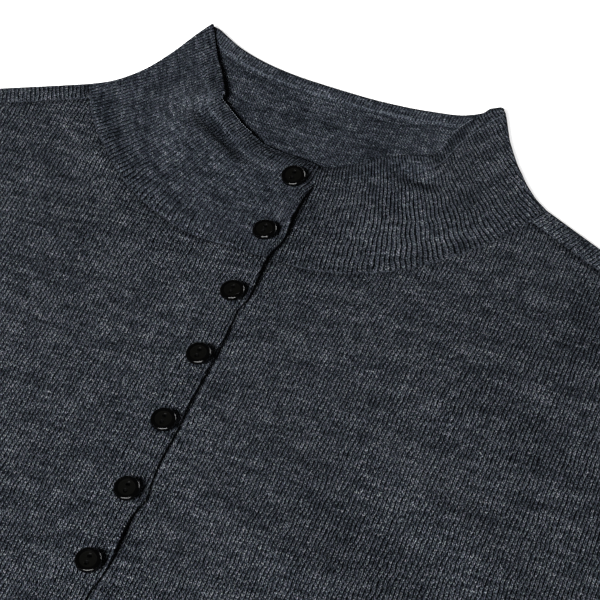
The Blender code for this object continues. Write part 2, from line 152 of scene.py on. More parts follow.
def knit_material(name, furrow, sharp, stitch, relief, tone=0.56, marl=3.1, purl=False):
    """Stocking stitch of marl yarn. furrow is how deep the cloth gets between two wales, in its bump and as
    painted shade in its colour, and sharp how narrow that is, stitch is the same between two stitches,
    relief their height in millimetres, tone how light the yarn is and marl how much its fibres differ.
    A stretch marked as plain has the body's knit."""
    material, tree = blank_material(name)

    def math_of(operation, *values, clamp=False):
        return add(tree, "ShaderNodeMath", values, operation=operation, use_clamp=clamp)[0]

    def noise(scale_x, scale_y, detail, roughness):
        """Noise whose grains are 1 / scale millimetres across."""
        stretch = add(tree, "ShaderNodeVectorMath", (place, (scale_x, scale_y, 1)), operation="MULTIPLY")[0]
        grain = {"Vector": stretch, "Scale": 1.0, "Detail": detail, "Roughness": roughness}
        return math_of("SUBTRACT", add(tree, "ShaderNodeTexNoise", grain)["Fac"], 0.5)

    def eased(own, plain_value):
        """A value that turns into the body's where the cloth is marked as plain."""
        return math_of("MULTIPLY_ADD", plain, plain_value - own, own)

    plain = add(tree, "ShaderNodeAttribute", attribute_name="plain")["Fac"]
    furrow, stitch, tone = eased(furrow, PLAIN_FURROW), eased(stitch, PLAIN_STITCH), eased(tone, PLAIN_TONE)
    place = add(tree, "ShaderNodeUVMap", uv_map="knit")[0]
    # Machine tension never holds a wale quite straight: it wanders by a fifth of a millimetre.
    stray = {"Vector": place, "Scale": WANDER_SCALE, "Detail": 1.0}
    wander = add(tree, "ShaderNodeTexNoise", stray)["Color"]
    shift = add(tree, "ShaderNodeVectorMath", (wander, (0.5, 0.5, 0.5)), operation="SUBTRACT")[0]
    wandered = (shift, (WANDER, WANDER, 0), place)
    fixed = add(tree, "ShaderNodeVectorMath", wandered, operation="MULTIPLY_ADD")[0]
    parts = add(tree, "ShaderNodeSeparateXYZ", (fixed,))
    wale = math_of("DIVIDE", parts["X"], WALE)
    course = math_of("DIVIDE", parts["Y"], COURSE)
    from_middle = math_of("SUBTRACT", math_of("FRACT", wale), 0.5)
    off_middle = math_of("MULTIPLY", math_of("ABSOLUTE", from_middle), 2.0)
    if purl:
        # The reverse shows the loops' heads as rows of small arches, half a stitch apart.
        arch = math_of("COSINE", math_of("MULTIPLY", wale, 2 * math.pi))
        climb = math_of("MULTIPLY_ADD", arch, PURL_ARCH, course)
    else:
        climb = math_of("SUBTRACT", course, off_middle)
    # The furrow between two wales is narrow and deep, and the one between a stitch's two legs is shallow. This
    # height makes the bump and also darkens the colour, which paints shade into the furrows and gaps. The
    # slack
    # attribute paints light and shade: above zero the knit is painted paler and its furrows close, below zero
    # darker.
    slack = add(tree, "ShaderNodeAttribute", attribute_name="slack")["Fac"]
    in_furrow = math_of("POWER", off_middle, sharp)
    uneven = noise(0.3, 0.6, 2.0, 0.7)
    for share, varied in ((FURROW_VARIES, uneven), (PAINTED_LIGHT_FURROW, slack)):
        in_furrow = math_of("MULTIPLY", in_furrow, math_of("MULTIPLY_ADD", varied, share, 1.0))
    in_middle = math_of("POWER", math_of("SUBTRACT", 1.0, off_middle), 3.0)
    across = math_of("ABSOLUTE", math_of("MULTIPLY_ADD", math_of("FRACT", climb), 2.0, -1.0))
    # A stitch's left leg stands higher, so the gap beside it is deeper in the bump and painted darker:
    # painted shade, as of light from one side.
    painted_shade_side = math_of("LESS_THAN", math_of("FRACT", wale), 0.5)
    deep = math_of("MULTIPLY", math_of("ADD", painted_shade_side, 0.5), stitch)
    gap = math_of("MULTIPLY", math_of("POWER", across, 2.5), deep)
    dips = math_of("MULTIPLY", math_of("MULTIPLY_ADD", in_middle, 1 / 3, in_furrow), furrow)
    height = math_of("MAXIMUM", math_of("SUBTRACT", math_of("SUBTRACT", 1.0, dips), gap), 0.0)

    # Each stitch is a little lighter or darker than the next, by how the marl's fibres happen to lie in it.
    number = add(tree, "ShaderNodeCombineXYZ", (math_of("FLOOR", wale), math_of("FLOOR", climb), 0.0))[0]
    fleck = add(tree, "ShaderNodeTexWhiteNoise", {"Vector": number}, noise_dimensions="2D")["Value"]
    # The yarn runs along the courses, so its paler and darker stretches are long, thin and ragged.
    for share, varied in (
        (FLECK_TONE, math_of("SUBTRACT", fleck, 0.5)),
        (STREAK_TONE, noise(0.1, 0.5, 3.0, 0.6)),
        (marl, noise(1.9, 1.5, 2.0, 0.8)),
        (BLOTCH_TONE, noise(0.03, 0.13, 3.0, 0.55)),
        # painted light and shade, from the slack attribute
        (PAINTED_LIGHT_TONE, slack),
    ):
        tone = math_of("MULTIPLY_ADD", varied, share, tone)
    # The yarn's tone times the stitches' height: painted shade in the furrows and gaps.
    tone_and_painted_shade = math_of("MULTIPLY", tone, height, clamp=True)
    yarn = ramp_of(tree, tone_and_painted_shade, (0, YARN_DARK), (0.35, YARN_MIDDLE), (0.65, YARN_GREY), (1, YARN_PALE))
    # The fleece was dyed before it was spun, so the fibres differ a little in hue as well.
    dye = {"Vector": place, "Scale": 0.9, "Detail": 3.0, "Roughness": 0.8}
    hues = add(tree, "ShaderNodeTexNoise", dye)["Color"]
    spread, least = (HUE_SPREAD,) * 3, (1 - HUE_SPREAD / 2,) * 3
    cast = add(tree, "ShaderNodeVectorMath", (hues, spread, least), operation="MULTIPLY_ADD")[0]
    colour = add(tree, "ShaderNodeVectorMath", (yarn, cast), operation="MULTIPLY")[0]
    bump = add(tree, "ShaderNodeBump", {"Height": height, "Strength": 1.0, "Distance": relief * MM})[0]
    surfaced(tree, colour, WOOL_ROUGHNESS, WOOL_GLOSS, {"Normal": bump})
    return material


STOCKING_FACE = knit_material(
    "marl wool stocking stitch", PLAIN_FURROW, 3.0, PLAIN_STITCH, relief=0.5, tone=PLAIN_TONE, marl=3.3
)
STOCKING_BACK = knit_material(
    "marl wool purl side", furrow=0.3, sharp=3, stitch=0.6, relief=0.35, tone=0.48, marl=2.2, purl=True
)


# Back: one panel of stocking stitch from the hem band to the shoulders. It lies face down on the surface and
# turns forward over each shoulder, as far as the shoulder seam on the front.
WALL = 1.5
AIR = 0.3
LAYER = WALL + AIR
LOW = WALL / 2
HIGH = LOW + LAYER
FOLD_STEPS = 11
# A free edge is fully round, and one at a seam nearly flat.
ROUND_BULGE = 1.0
SEAM_BULGE = 0.1
RIM_TURNS = (math.pi / 4, 0, -math.pi / 4)
RIM_FULLER = 1.2
# Places in plan are in millimetres from the middle of the neck, and are those of the wearer's left side.
BODY_MIDDLE = (0, -300)
HEM = (230, -575)
BAND_TOP = (236, -520)
UNDERARM = (250, -205)
SHOULDER = (196, -14)
NECK_POINT = (114, 25)
COLLAR_TIP = (75, 84)
SHOULDER_WRAP = 10
SHOULDER_FOLD = (NECK_POINT, (130, 17.3), (160, 3.2), SHOULDER)
ARMHOLE = ((184, -60), (183, -105), (194, -150), (219, -185), UNDERARM)
# The front's grid has so many rows from one listed height to the next. The armhole takes seven of those steps.
ROW_PARTS = 6
ARMHOLE_STEPS = 7 * ROW_PARTS + 1
SHOULDER_STEPS = 25
SIDE_STEPS = 40
BACK_NECK_STEPS = 15
SIDE_SEAM = (BAND_TOP, (242, -400), (245, -300), UNDERARM)
BACK_NECK = ((0, 2), (45, 5), (80, 11), (102, 18.5), NECK_POINT)
MIDDLE_Y = (COLLAR_TIP[1] + HEM[1]) / 2

# Where the laid cloth rises in soft ridges: middle x and y, direction in degrees, length, width and height.
RIDGES = (
    (-150, -190, 35, 150, 16, 2.2),
    (-120, -262, 22, 170, 20, 1.8),
    (-70, -400, 12, 150, 22, 1.6),
    (130, -225, 146, 150, 17, 2.3),
    (105, -330, 160, 150, 21, 1.7),
    (140, -430, 172, 130, 20, 1.9),
    (-165, -455, 8, 130, 19, 1.7),
    (262, -135, 100, 100, 15, 2.4),
    (330, -185, 128, 110, 16, 2.1),
    (438, -255, 118, 100, 15, 2.3),
    (520, -300, 140, 110, 14, 1.8),
    (-258, -130, 82, 100, 16, 2.3),
    (-345, -190, 55, 110, 15, 2.2),
    (-455, -262, 66, 110, 16, 2.0),
    (-540, -322, 40, 100, 14, 2.2),
)
# Painted light and shade on the upper cloth, in the same columns: above zero the knit is painted paler and its
# furrows close, below zero it is painted darker and they open.
PAINTED_LIGHT_AND_SHADE = (
    (-54, 35.6, 44, 40, 5.5, 0.42),
    (-65, 18, 120, 44, 7, 0.25),
    (-45.6, 19, 144, 30, 3.2, -0.65),
    (-86, -5, 130, 66, 7, -0.4),
    (-100, -16, 127, 70, 7, 0.15),
    (55, 25.5, 0, 16, 3.2, 0.3),
    (56, 17, 0, 20, 3.2, -0.7),
    (50, 1, 0, 26, 6, -0.3),
    (128, -55, 160, 60, 9, -0.25),
    (150, -103, 155, 80, 10, -0.2),
    (165, -138, 165, 60, 8, -0.1),
    (110, -138, 160, 50, 10, 0.2),
    (152, -36, 120, 50, 10, -0.25),
    (92, -180, 160, 70, 9, -0.25),
    (-60, -120, 20, 90, 14, 0.1),
)
# Smaller creases and dents, in the same columns. A dent has a height below zero.
CREASES = (
    (-98, -150, 40, 70, 7, 0.5),
    (-60, -215, 28, 90, 9, 0.45),
    (-182, -240, 48, 60, 6, 0.7),
    (-40, -330, 14, 80, 9, 0.5),
    (-190, -380, 70, 90, 9, 0.6),
    (95, -170, 150, 80, 8, 0.5),
    (178, -262, 132, 70, 6, 0.7),
    (60, -280, 165, 90, 9, 0.5),
    (118, -148, 151, 120, 8, 1.1),
    (150, -176, 148, 100, 9, 1.2),
    (64, -196, 156, 110, 9, 1.0),
    (96, -92, 160, 80, 8, 0.7),
    (40, -150, 168, 80, 8, 0.6),
    (-70, -60, 20, 70, 8, 0.6),
    (196, -395, 100, 90, 9, 0.6),
    (40, -470, 4, 100, 10, 0.5),
    (236, -178, 84, 50, 5, 0.8),
    (-236, -176, 95, 50, 5, 0.8),
    (302, -158, 112, 70, 7, 0.7),
    (385, -232, 150, 70, 7, 0.6),
    (470, -292, 104, 60, 6, 0.8),
    (560, -318, 128, 60, 6, 0.6),
    (-300, -166, 64, 70, 7, 0.7),
    (-398, -214, 40, 70, 7, 0.6),
    (-492, -276, 78, 60, 6, 0.8),
    (-578, -330, 56, 60, 6, 0.6),
)


def bent(t, start, end, leave, arrive):
    """The points at the shares t of a smooth line between two points, with its slopes at both."""
    rise = 3 * t**2 - 2 * t**3
    return (1 - rise) * start + rise * end + (t - 2 * t**2 + t**3) * leave + (t**3 - t**2) * arrive


def curve(points, shares):
    """The points at these shares of the length of a smooth curve through a table's points."""
    knots = np.array(points, float)
    along = np.concatenate([[0], np.cumsum(np.linalg.norm(np.diff(knots, axis=0), axis=1))])
    along /= along[-1]
    slopes = np.gradient(knots, along, axis=0)
    shares = np.asarray(shares, float)
    i = np.clip(np.searchsorted(along, shares, side="right") - 1, 0, len(along) - 2)
    step = (along[i + 1] - along[i])[:, None]
    t = (shares - along[i])[:, None] / step
    return bent(t, knots[i], knots[i + 1], step * slopes[i], step * slopes[i + 1])


def even(points, count):
    return curve(points, np.linspace(0, 1, count))


def passed(value, start, end):
    """How far a value has come from start to end, from none to all, eased at both."""
    t = np.clip((value - start) / (end - start), 0, 1)
    return t * t * (3 - 2 * t)


def shares_of(points):
    steps = np.linalg.norm(np.diff(points, axis=0), axis=1)
    return np.concatenate([[0], np.cumsum(steps)]) / steps.sum()


def stretched(bottom, top, left, right):
    """A grid of plan points inside four edges: rows run from the left to the right, bottom row first."""
    u = ((shares_of(bottom) + shares_of(top)) / 2)[None, :, None]
    v = ((shares_of(left) + shares_of(right)) / 2)[:, None, None]
    across = (1 - u) * left[:, None] + u * right[:, None]
    along = (1 - v) * bottom[None] + v * top[None]
    corners = (1 - v) * ((1 - u) * bottom[0] + u * bottom[-1]) + v * ((1 - u) * top[0] + u * top[-1])
    return across + along - corners


def outward(points, inside):
    """Unit vectors in plan, square to a line and pointing away from a point inside."""
    run = np.gradient(points, axis=0)
    normals = np.stack([run[:, 1], -run[:, 0]], axis=1)
    normals /= np.linalg.norm(normals, axis=1)[:, None]
    off = ((points - inside) * normals).sum(axis=1)
    return normals * np.where(off < 0, -1, 1)[:, None]


def raised(x, y, table):
    """How far a table's ridges raise the cloth at each point."""
    height = np.zeros(np.shape(x))
    for middle_x, middle_y, direction, length, width, most in table:
        turn = math.radians(direction)
        along = (x - middle_x) * math.cos(turn) + (y - middle_y) * math.sin(turn)
        off = (y - middle_y) * math.cos(turn) - (x - middle_x) * math.sin(turn)
        height = height + most * np.exp(-((off / width) ** 2) - (2 * along / length) ** 4)
    return height


def lift(x, y):
    return raised(x, y, RIDGES) + raised(x, y, CREASES)


def patch(plan, height, face, flat, thick=WALL, bulge=SEAM_BULGE):
    """A stretch of cloth on a grid: its points in mid wall, the way its outer face looks, its knit's own
    place in millimetres, its thickness, and how far a free edge there bulges, as a share of the thickness."""
    points = np.dstack([plan, np.broadcast_to(height, plan.shape[:2])])
    faces = np.zeros_like(points) + face
    shape = plan.shape[:2]
    spread = [np.broadcast_to(np.asarray(value, float), shape) for value in (thick, bulge)]
    return points, faces, np.dstack([flat[0] + 0 * points[..., 0], flat[1] + 0 * points[..., 0]]), *spread


def folded(edge, outside, low, high, flat, thick=WALL, bulge=SEAM_BULGE):
    """A stretch that turns round a fold: edge is the fold's outermost middle line in plan."""
    low, high = np.broadcast_to(low, len(edge)), np.broadcast_to(high, len(edge))
    radius, centre = (high - low) / 2, (high + low) / 2
    turns = np.linspace(-math.pi / 2, math.pi / 2, FOLD_STEPS)[:, None]
    plan = edge + outside * (radius * (np.cos(turns) - 1))[..., None]
    faces = np.dstack([outside * np.cos(turns)[..., None], np.sin(turns) + 0 * radius])
    made = patch(plan, centre + radius * np.sin(turns), 0, flat, thick, bulge)
    return made[0], faces, *made[2:]


def in_metres(points):
    """Points in millimetres from the centre of the neck, where the frame has them."""
    return (np.asarray(points) - (0, MIDDLE_Y, 0)) * MM


def spots_of(mesh):
    """A mesh's vertices, in millimetres again: their x, y and z."""
    return (np.array([vertex.co for vertex in mesh.vertices]) / MM + (0, MIDDLE_Y, 0)).T


def marked(mesh, name, values):
    """Gives each vertex a value that the knit's material reads by this name."""
    mesh.attributes.new(name, "FLOAT", "POINT").data.foreach_set("value", values)


def welded(patches, looks):
    """Stretches of cloth as one sheet: each vertex's point, face, thickness and bulge, and each quad's
    corners, their places in the knit, and its outer and inner slot."""
    numbers, vertices, quads = {}, [], []
    for (at, face, flat, wall, edge), look in zip(patches, looks):
        grid = np.zeros(wall.shape, int)
        for spot in np.ndindex(*grid.shape):
            key = tuple(np.round(at[spot], 3) + 0.0)
            if key not in numbers:
                numbers[key] = len(vertices)
                vertices.append([values[spot] for values in (at, face, wall, edge)])
            grid[spot] = numbers[key]
        outside, inside = (np.broadcast_to(side, len(grid) - 1) for side in look)
        for i, j in np.ndindex(grid.shape[0] - 1, grid.shape[1] - 1):
            corners = ((i, j), (i, j + 1), (i + 1, j + 1), (i + 1, j))
            ring = [grid[corner] for corner in corners]
            if len(set(ring)) == 4:
                quads.append((ring, [flat[corner] for corner in corners], int(outside[i]), int(inside[i])))
    return [np.array(values) for values in zip(*vertices)], quads


def free_edges(points, quads):
    """A sheet's free edges, by their two vertices: the centre of each one's quad, its ends' places in the
    knit, how far these move on from one row of the rim to the next, and its slot."""
    edges = {}
    for ring, places, slot, _ in quads:
        centre = points[ring].mean(axis=0)
        for k in range(4):
            pair = (ring[k], ring[(k + 1) % 4])
            if edges.pop(pair, None) is None and edges.pop(pair[::-1], None) is None:
                spot, next_spot = places[k], places[(k + 1) % 4]
                on = (spot + next_spot) / 2 - np.mean(places, axis=0)
                on /= max(np.linalg.norm(on), 1e-6)
                edges[pair] = (centre, spot, next_spot, on * WALL / 4, slot)
    return edges


def ways_in(points, edges):
    """For each vertex of the free edges, the ways in from them, square to each."""
    inward = {}
    for (first, second), (centre, *_) in edges.items():
        run = points[second] - points[first]
        run /= np.linalg.norm(run)
        step = centre - points[first]
        step -= run * (step @ run)
        step /= np.linalg.norm(step)
        inward.setdefault(first, []).append(step)
        inward.setdefault(second, []).append(step)
    return inward


def cloth(name, patches, looks):
    """One closed wall from stretches of cloth that share their edges. looks gives, for each stretch, the
    slots of its outer and inner side, as numbers or as arrays with one number for each row of faces."""
    (points, faces, thick, bulge), quads = welded(patches, looks)
    edges = free_edges(points, quads)
    mesh = bmesh.new()
    uv_map = mesh.loops.layers.uv.new("knit")

    def vertices(middle):
        return [mesh.verts.new(point) for point in in_metres(middle)]

    def face_of(ring, where, slot, smooth=True):
        face = mesh.faces.new(ring)
        face.material_index = slot
        face.smooth = smooth
        for loop, spot in zip(face.loops, where):
            loop[uv_map].uv = spot

    reach = faces * thick[:, None] / 2
    outer, inner = vertices(points + reach), vertices(points - reach)
    for ring, where, outside, inside in quads:
        face_of([outer[k] for k in ring], where, outside)
        face_of([inner[k] for k in reversed(ring)], where[::-1], inside)
    rims = {}
    for vertex, steps in ways_in(points, edges).items():
        total = np.sum(steps, axis=0)
        out = -total / max(np.linalg.norm(total), 1e-6) * thick[vertex] / 2 * bulge[vertex]
        rounds = [outer[vertex]]
        for turn in RIM_TURNS:
            rim = (out * math.cos(turn) + reach[vertex] * math.sin(turn)) * RIM_FULLER
            rounds += vertices((points[vertex] + rim)[None])
        rims[vertex] = rounds + [inner[vertex]]
    for (first, second), (_, spot, next_spot, on, slot) in edges.items():
        for k in range(4):
            ring = [rims[first][k], rims[first][k + 1], rims[second][k + 1], rims[second][k]]
            where = (spot + k * on, spot + (k + 1) * on, next_spot + (k + 1) * on, next_spot + k * on)
            face_of(ring, where, slot, min(bulge[first], bulge[second]) > SEAM_BULGE)
    bmesh.ops.recalc_face_normals(mesh, faces=mesh.faces)
    data = bpy.data.meshes.new(name)
    mesh.to_mesh(data)
    mesh.free()
    x, y, z = spots_of(data)
    # Each vertex of the upper cloth carries the painted light and shade of its place, in the attribute named
    # slack.
    marked(data, "slack", np.where(z > LAYER, raised(x, y, PAINTED_LIGHT_AND_SHADE), 0))
    return placed(name, data)


def on_face(made, where, way=1, proud=0.1):
    """A row of points just off a stretch's outer face, or its inner face where way is -1."""
    points, faces, _, thick, _ = made
    return points[where] + faces[where] * way * (thick[where] / 2 + proud)[:, None]


def dressed(piece, materials, node):
    """Gives a knitted piece its materials, puts it in the root body and hides the part of model.glb that it
    stands for.
    """
    for material in materials:
        piece.data.materials.append(material)
    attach(piece, "root")
    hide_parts(node)


# The lines that are linked stitch by stitch, as each section makes them.
seams = []
shoulder_line = even(SHOULDER_FOLD, SHOULDER_STEPS)
shoulder_away = outward(shoulder_line, BODY_MIDDLE)
shoulder_seam = shoulder_line - shoulder_away * SHOULDER_WRAP
armhole = np.concatenate([[SHOULDER], even((shoulder_seam[-1],) + ARMHOLE, ARMHOLE_STEPS)])
fold_radius = (HIGH - LOW) / 2
half_turn = fold_radius * math.pi

shoulder_turn = shoulder_line - shoulder_away * fold_radius
half = np.concatenate([even(BACK_NECK, BACK_NECK_STEPS)[:-1], shoulder_turn])
top = np.concatenate([(half * (-1, 1))[::-1], half[1:]])
edge = np.concatenate([even(SIDE_SEAM, SIDE_STEPS), armhole[::-1][1:-1], shoulder_turn[-1:]])
plan = stretched(np.linspace(edge[0] * (-1, 1), edge[0], len(top)), top, edge * (-1, 1), edge)
patches = [patch(plan, LOW, (0, 0, -1), (plan[..., 0], plan[..., 1]))]
for side in (-1, 1):
    line = shoulder_line * (side, 1)
    turned = np.linspace(0, half_turn, FOLD_STEPS)[:, None]
    patches.append(folded(line, shoulder_away * (side, 1), LOW, HIGH, (line[:, 0], line[:, 1] + turned)))
    wrap = np.stack([shoulder_turn, (shoulder_turn + shoulder_seam) / 2, shoulder_seam]) * (side, 1)
    down = np.linspace(0, SHOULDER_WRAP, 3)[:, None]
    height = HIGH + lift(wrap[..., 0], wrap[..., 1])
    patches.append(patch(wrap, height, (0, 0, 1), (line[:, 0], line[:, 1] + half_turn + down)))
    seams.append(on_face(patches[-1], -1))
back = cloth("back_knit", patches, [(0, 1)] * 5)
dressed(back, [STOCKING_FACE, STOCKING_BACK], "back")


# Front: one panel of stocking stitch that parts at the placket's slit. The wearer's right side carries the
# overlap, knitted in one with it, which rolls up a little along its edge and lies on the left side.
FRONT_NECK = ((0, -50), (40, -45), (68, -31), (88.5, -12.3), (100, 0.5), (109.8, 15.8))
OVERLAP_EDGE = 8.5
UNDERLAP_EDGE = -9
LAP_RISE = (-23, -11)
SLIT_END = -306
UNDERLAP_FOOT = -294
NECK_COLUMNS = (34, 42, 50, 59, 66, 74, 80, 87, 92.5, 98, 104)
# These columns start this far from the last straight one, and this many steps lie between two.
NECK_CLEAR = 4
NECK_PARTS = 3
RIGHT_COLUMNS = (8.5, 8.1, 7.4, 6.5, 5.5, 4.2, 2.5, 0, -3, -7, -11, -14, -17, -20, -24)
LEFT_COLUMNS = (8.5, 12, 16, 20, 25)
UNDERLAP_COLUMNS = (-9, -6, -3, 0, 4, 8.5)
LOWER_ROWS = (-520, -490, -460, -430, -400, -370, -340, -320, SLIT_END, UNDERLAP_FOOT, -270, -245, -220)
UPPER_ROWS = (-195, -170, -145, -120, -96, -72)

# The overlap's edge isn't straight: it is drawn in between two buttons and rolls up there, off the left side.
# The columns are y, how far it stands out beyond the plain edge, and how far it stands up.
OVERLAP_WAVE = (
    (12, -0.6, 0.0),
    (2, 1.6, 0.4),
    (-4, 0.6, 0.6),
    (-8, -0.2, 1.0),
    (-14, -0.8, 1.6),
    (-25, -0.8, 1.6),
    (-32, 0.3, 1.2),
    (-38, 0.1, 1.0),
    (-47, -2.2, 1.6),
    (-55, -2.8, 1.7),
    (-65, -1.8, 1.1),
    (-76, -1.5, 0.5),
    (-83, -3.6, 0.3),
    (-100, -2.6, 0.5),
    (-119, -2.7, 0.3),
    (-141, -2.8, 0.5),
    (-155, -2.2, 0.2),
    (-171, -2.6, 0.4),
    (-180, -2.0, 0.2),
    (-193, 0.1, 0.2),
    (-203, -2.4, 0.8),
    (-216, -2.2, 2.0),
    (-225, -1.0, 0.6),
    (-232, -1.2, 0.2),
    (-247, -3.4, 0.3),
    (-270, -0.7, 0.3),
    (-294, -0.5, 0.0),
    (-306, -0.5, 0.0),
)
# How much the left front's wales lean at most, where that is, and how far each way from there they lean.
WALE_LEAN = 0.09
LEAN_MIDDLE = (75, -55)
LEAN_REACH = (60, 45)
# The overlap's lip: how far in from the edge it rises, and how much its roll thickens the cloth, round a line
# just inside the edge, for each millimetre that the edge stands up more than a flat lip does.
LIP_REACH = 5
LIP_THICKER = 0.8
LIP_LINE = 0.6
LIP_WIDTH = 1.6
FLAT_LIP = 1.1
SIDE_STITCH_OUT = 0.1
NECK_STEPS = 100

neck_line = even(FRONT_NECK, NECK_STEPS)


def neck_y(x):
    """The height of the front neck seam at a column."""
    return np.interp(np.abs(x), neck_line[:, 0], neck_line[:, 1])


def refined(values, parts):
    """The values of a table with this many even steps between two."""
    values = np.array(values, float)
    count = (len(values) - 1) * parts + 1
    return np.interp(np.linspace(0, len(values) - 1, count), np.arange(len(values)), values)


def columns_up(columns, rows):
    """Straight columns from the band to the neck seam, with these heights on the centre line."""
    shares = (np.array(rows, float) - BAND_TOP[1]) / (neck_y(0) - BAND_TOP[1])
    x = np.broadcast_to(np.array(columns, float), (len(rows), len(columns)))
    return np.dstack([x, BAND_TOP[1] + shares[:, None] * (neck_y(x) - BAND_TOP[1])])


def neck_seam(side, first):
    """The front neck seam from the column at x = first out to the shoulder seam."""
    beyond = [column for column in NECK_COLUMNS if column > first * side + NECK_CLEAR]
    x = refined([first * side] + beyond + [shoulder_seam[0, 0]], NECK_PARTS)
    y = np.append(neck_y(x[:-1]), shoulder_seam[0, 1])
    return np.stack([x * side, y], axis=1)


def lapped(x, y):
    """How much of a layer the overlap is raised by, from none to all, as it comes up onto the underlap."""
    return passed(x, *LAP_RISE) * passed(y, SLIT_END, UNDERLAP_FOOT)


def leaned(x, y):
    """The knit's own place across, where the wales lean in towards the collar on the left front."""
    off_x, off_y = x - LEAN_MIDDLE[0], y - LEAN_MIDDLE[1]
    near = np.exp(-((off_x / LEAN_REACH[0]) ** 2))
    return x - WALE_LEAN * LEAN_REACH[1] * np.tanh(off_y / LEAN_REACH[1]) * near


def waved(x, y):
    """How far the overlap's edge stands out, stands up, and is thickened by its roll, at each point."""
    table = np.array(OVERLAP_WAVE)[::-1]
    near = passed(x, OVERLAP_EDGE - LIP_REACH, OVERLAP_EDGE)
    out = np.interp(y, table[:, 0], table[:, 1]) * near
    up = np.interp(y, table[:, 0], table[:, 2]) * near**2
    roll = LIP_THICKER * (up - FLAT_LIP) * np.exp(-(((x - OVERLAP_EDGE + LIP_LINE) / LIP_WIDTH) ** 2))
    return out, up + np.minimum(roll, 0) / 2, roll


rows = refined(LOWER_ROWS + UPPER_ROWS + (neck_y(0),), ROW_PARTS)
side_rows = rows[: (len(LOWER_ROWS) - 1) * ROW_PARTS + 1]
side_line = curve(SIDE_SEAM, shares_of(side_rows[:, None]))
edge = np.concatenate([side_line, armhole[::-1][1:-1]])
patches = []
for side, columns in ((-1, RIGHT_COLUMNS), (1, LEFT_COLUMNS)):
    near = columns_up(columns, rows)
    top = np.concatenate([neck_seam(side, columns[-1]), shoulder_seam[1:] * (side, 1)])
    hem = np.linspace(near[0, -1], edge[0] * (side, 1), len(top))
    far = stretched(hem, top, near[:, -1], edge * (side, 1))
    plan = np.concatenate([near[:, :-1], far], axis=1)
    x, y = plan[..., 0].copy(), plan[..., 1]
    height, thick, bulge = HIGH + lift(x, y), WALL, SEAM_BULGE
    if side < 0:
        out, up, roll = waved(x, y)
        open_part = passed(y, SLIT_END, UNDERLAP_FOOT)
        plan[..., 0] += out * open_part
        height += LAYER * lapped(x, y) + up * open_part
        thick = WALL + roll * open_part
        bulge = np.where(x == OVERLAP_EDGE, ROUND_BULGE, SEAM_BULGE) * open_part
    patches.append(patch(plan, height, (0, 0, 1), (leaned(plan[..., 0], y), y), thick, bulge))
    seams.append(on_face(patches[-1], (slice(len(side_line) - 1, None), -1)))
    side_seam = np.column_stack([side_line * (side, 1), np.full(len(side_line), (LOW + HIGH) / 2)])
    seams.append(side_seam + (side * SIDE_STITCH_OUT, 0, 0))
lap = columns_up(UNDERLAP_COLUMNS, rows[ROW_PARTS * LOWER_ROWS.index(UNDERLAP_FOOT):])
patches.append(patch(lap, HIGH + lift(lap[..., 0], lap[..., 1]), (0, 0, 1), (lap[..., 0], lap[..., 1])))
front = cloth("front_knit", patches, [(0, 1)] * 3)
dressed(front, [STOCKING_FACE, STOCKING_BACK], "front")


# Collar: one band of the same yarn, knitted on from the neck and drawn in towards its top, so that its wales
# fan out from the neck edge. It folds over at both sides, and its top edge is turned in and linked as a welt.
WELT = 2.3
COLLAR_HEIGHT = 66
COLLAR_STEPS = 40
EDGE_STEPS = 400
LEAST_AIR = AIR / 4
# Shares of the way up the collar: its rows, those of the welts' lower edges, and how soft such an edge is.
FRONT_WELT = 0.872
BACK_WELT = 0.905
WELT_EDGE = 0.02
PLAIN_ROWS = np.linspace(0, 0.86, 32)
WELT_ROWS = (FRONT_WELT, 0.885, 0.895, BACK_WELT, 0.918, 0.93, 0.945, 0.96, 0.975, 0.988, 1)
# Where a fold gets thicker towards the welt, by a part of the welt's own, and where the rims get thinner.
FOLD_WELT = (0.7, 1)
FOLD_WELT_PART = 0.3
RIM = (0.93, 1)
# Where the collar's creases set in above the neck seam.
CREASED = (0, 0.4)
# A point that rises by one millimetre and moves by this much in plan stays where it is in the photo.
SIGHT = np.array((0.31, -0.81))
COLLAR_MIDDLE = (0, 40)
COLLAR_FOLD = (NECK_POINT, (105.6, 30.2), (94.2, 42.5), (85, 60), (80.5, 71.5), COLLAR_TIP)
# How far each fold line stands out beyond the other pieces' plain one, by y along it.
FOLD_OUT = {
    -1: ((25, 0), (60, 0.2), (75, 0.3), (84, 0)),
    1: ((25, 0), (32, 1.5), (42, 2.0), (52, 1.1), (62, -0.1), (70, -0.6), (78, -0.7), (84, 0)),
}
RIGHT_EDGE = (
    (OVERLAP_EDGE, 12.5),
    (-0.5, 13.9),
    (-8.3, 14.8),
    (-17.5, 16.1),
    (-24.9, 18.9),
    (-34.3, 23.2),
    (-41.8, 29),
    (-48, 34),
    (-51.8, 37.3),
    (-51.6, 40.2),
    (-53.2, 43.8),
    (-57.2, 51.5),
    (-62.3, 60.5),
    (-68.6, 73),
    (-75, 84),
)
LEFT_EDGE = (
    (UNDERLAP_EDGE, 14.2),
    (8.7, 14.3),
    (16.5, 16.5),
    (25.1, 20.5),
    (35.6, 26),
    (41.5, 30.2),
    (48, 32.6),
    (54.3, 35.4),
    (56.4, 39.8),
    (58.2, 48.4),
    (60.1, 57.4),
    (65.2, 69.2),
    (69.3, 77.4),
    COLLAR_TIP,
)
BACK_EDGE = (
    (-75, 84),
    (-64.8, 78.6),
    (-56.8, 74.3),
    (-42.2, 69.1),
    (-28.8, 66.4),
    (-3.5, 64.4),
    (21, 64),
    (44.3, 66.2),
    (61, 70.1),
    (68, 74.6),
    COLLAR_TIP,
)
WELTS_MEET = (68, 76)
# The buttoned top of the fronts is pressed thin: how far from the centre that reaches and where it ends, the
# heights at which the overlap's lip gets thin as well, and how much thinner the very edge is.
PRESSED = (14, 34)
LIP_THINS = (-6, 2)
EDGE_THINNER = 0.75
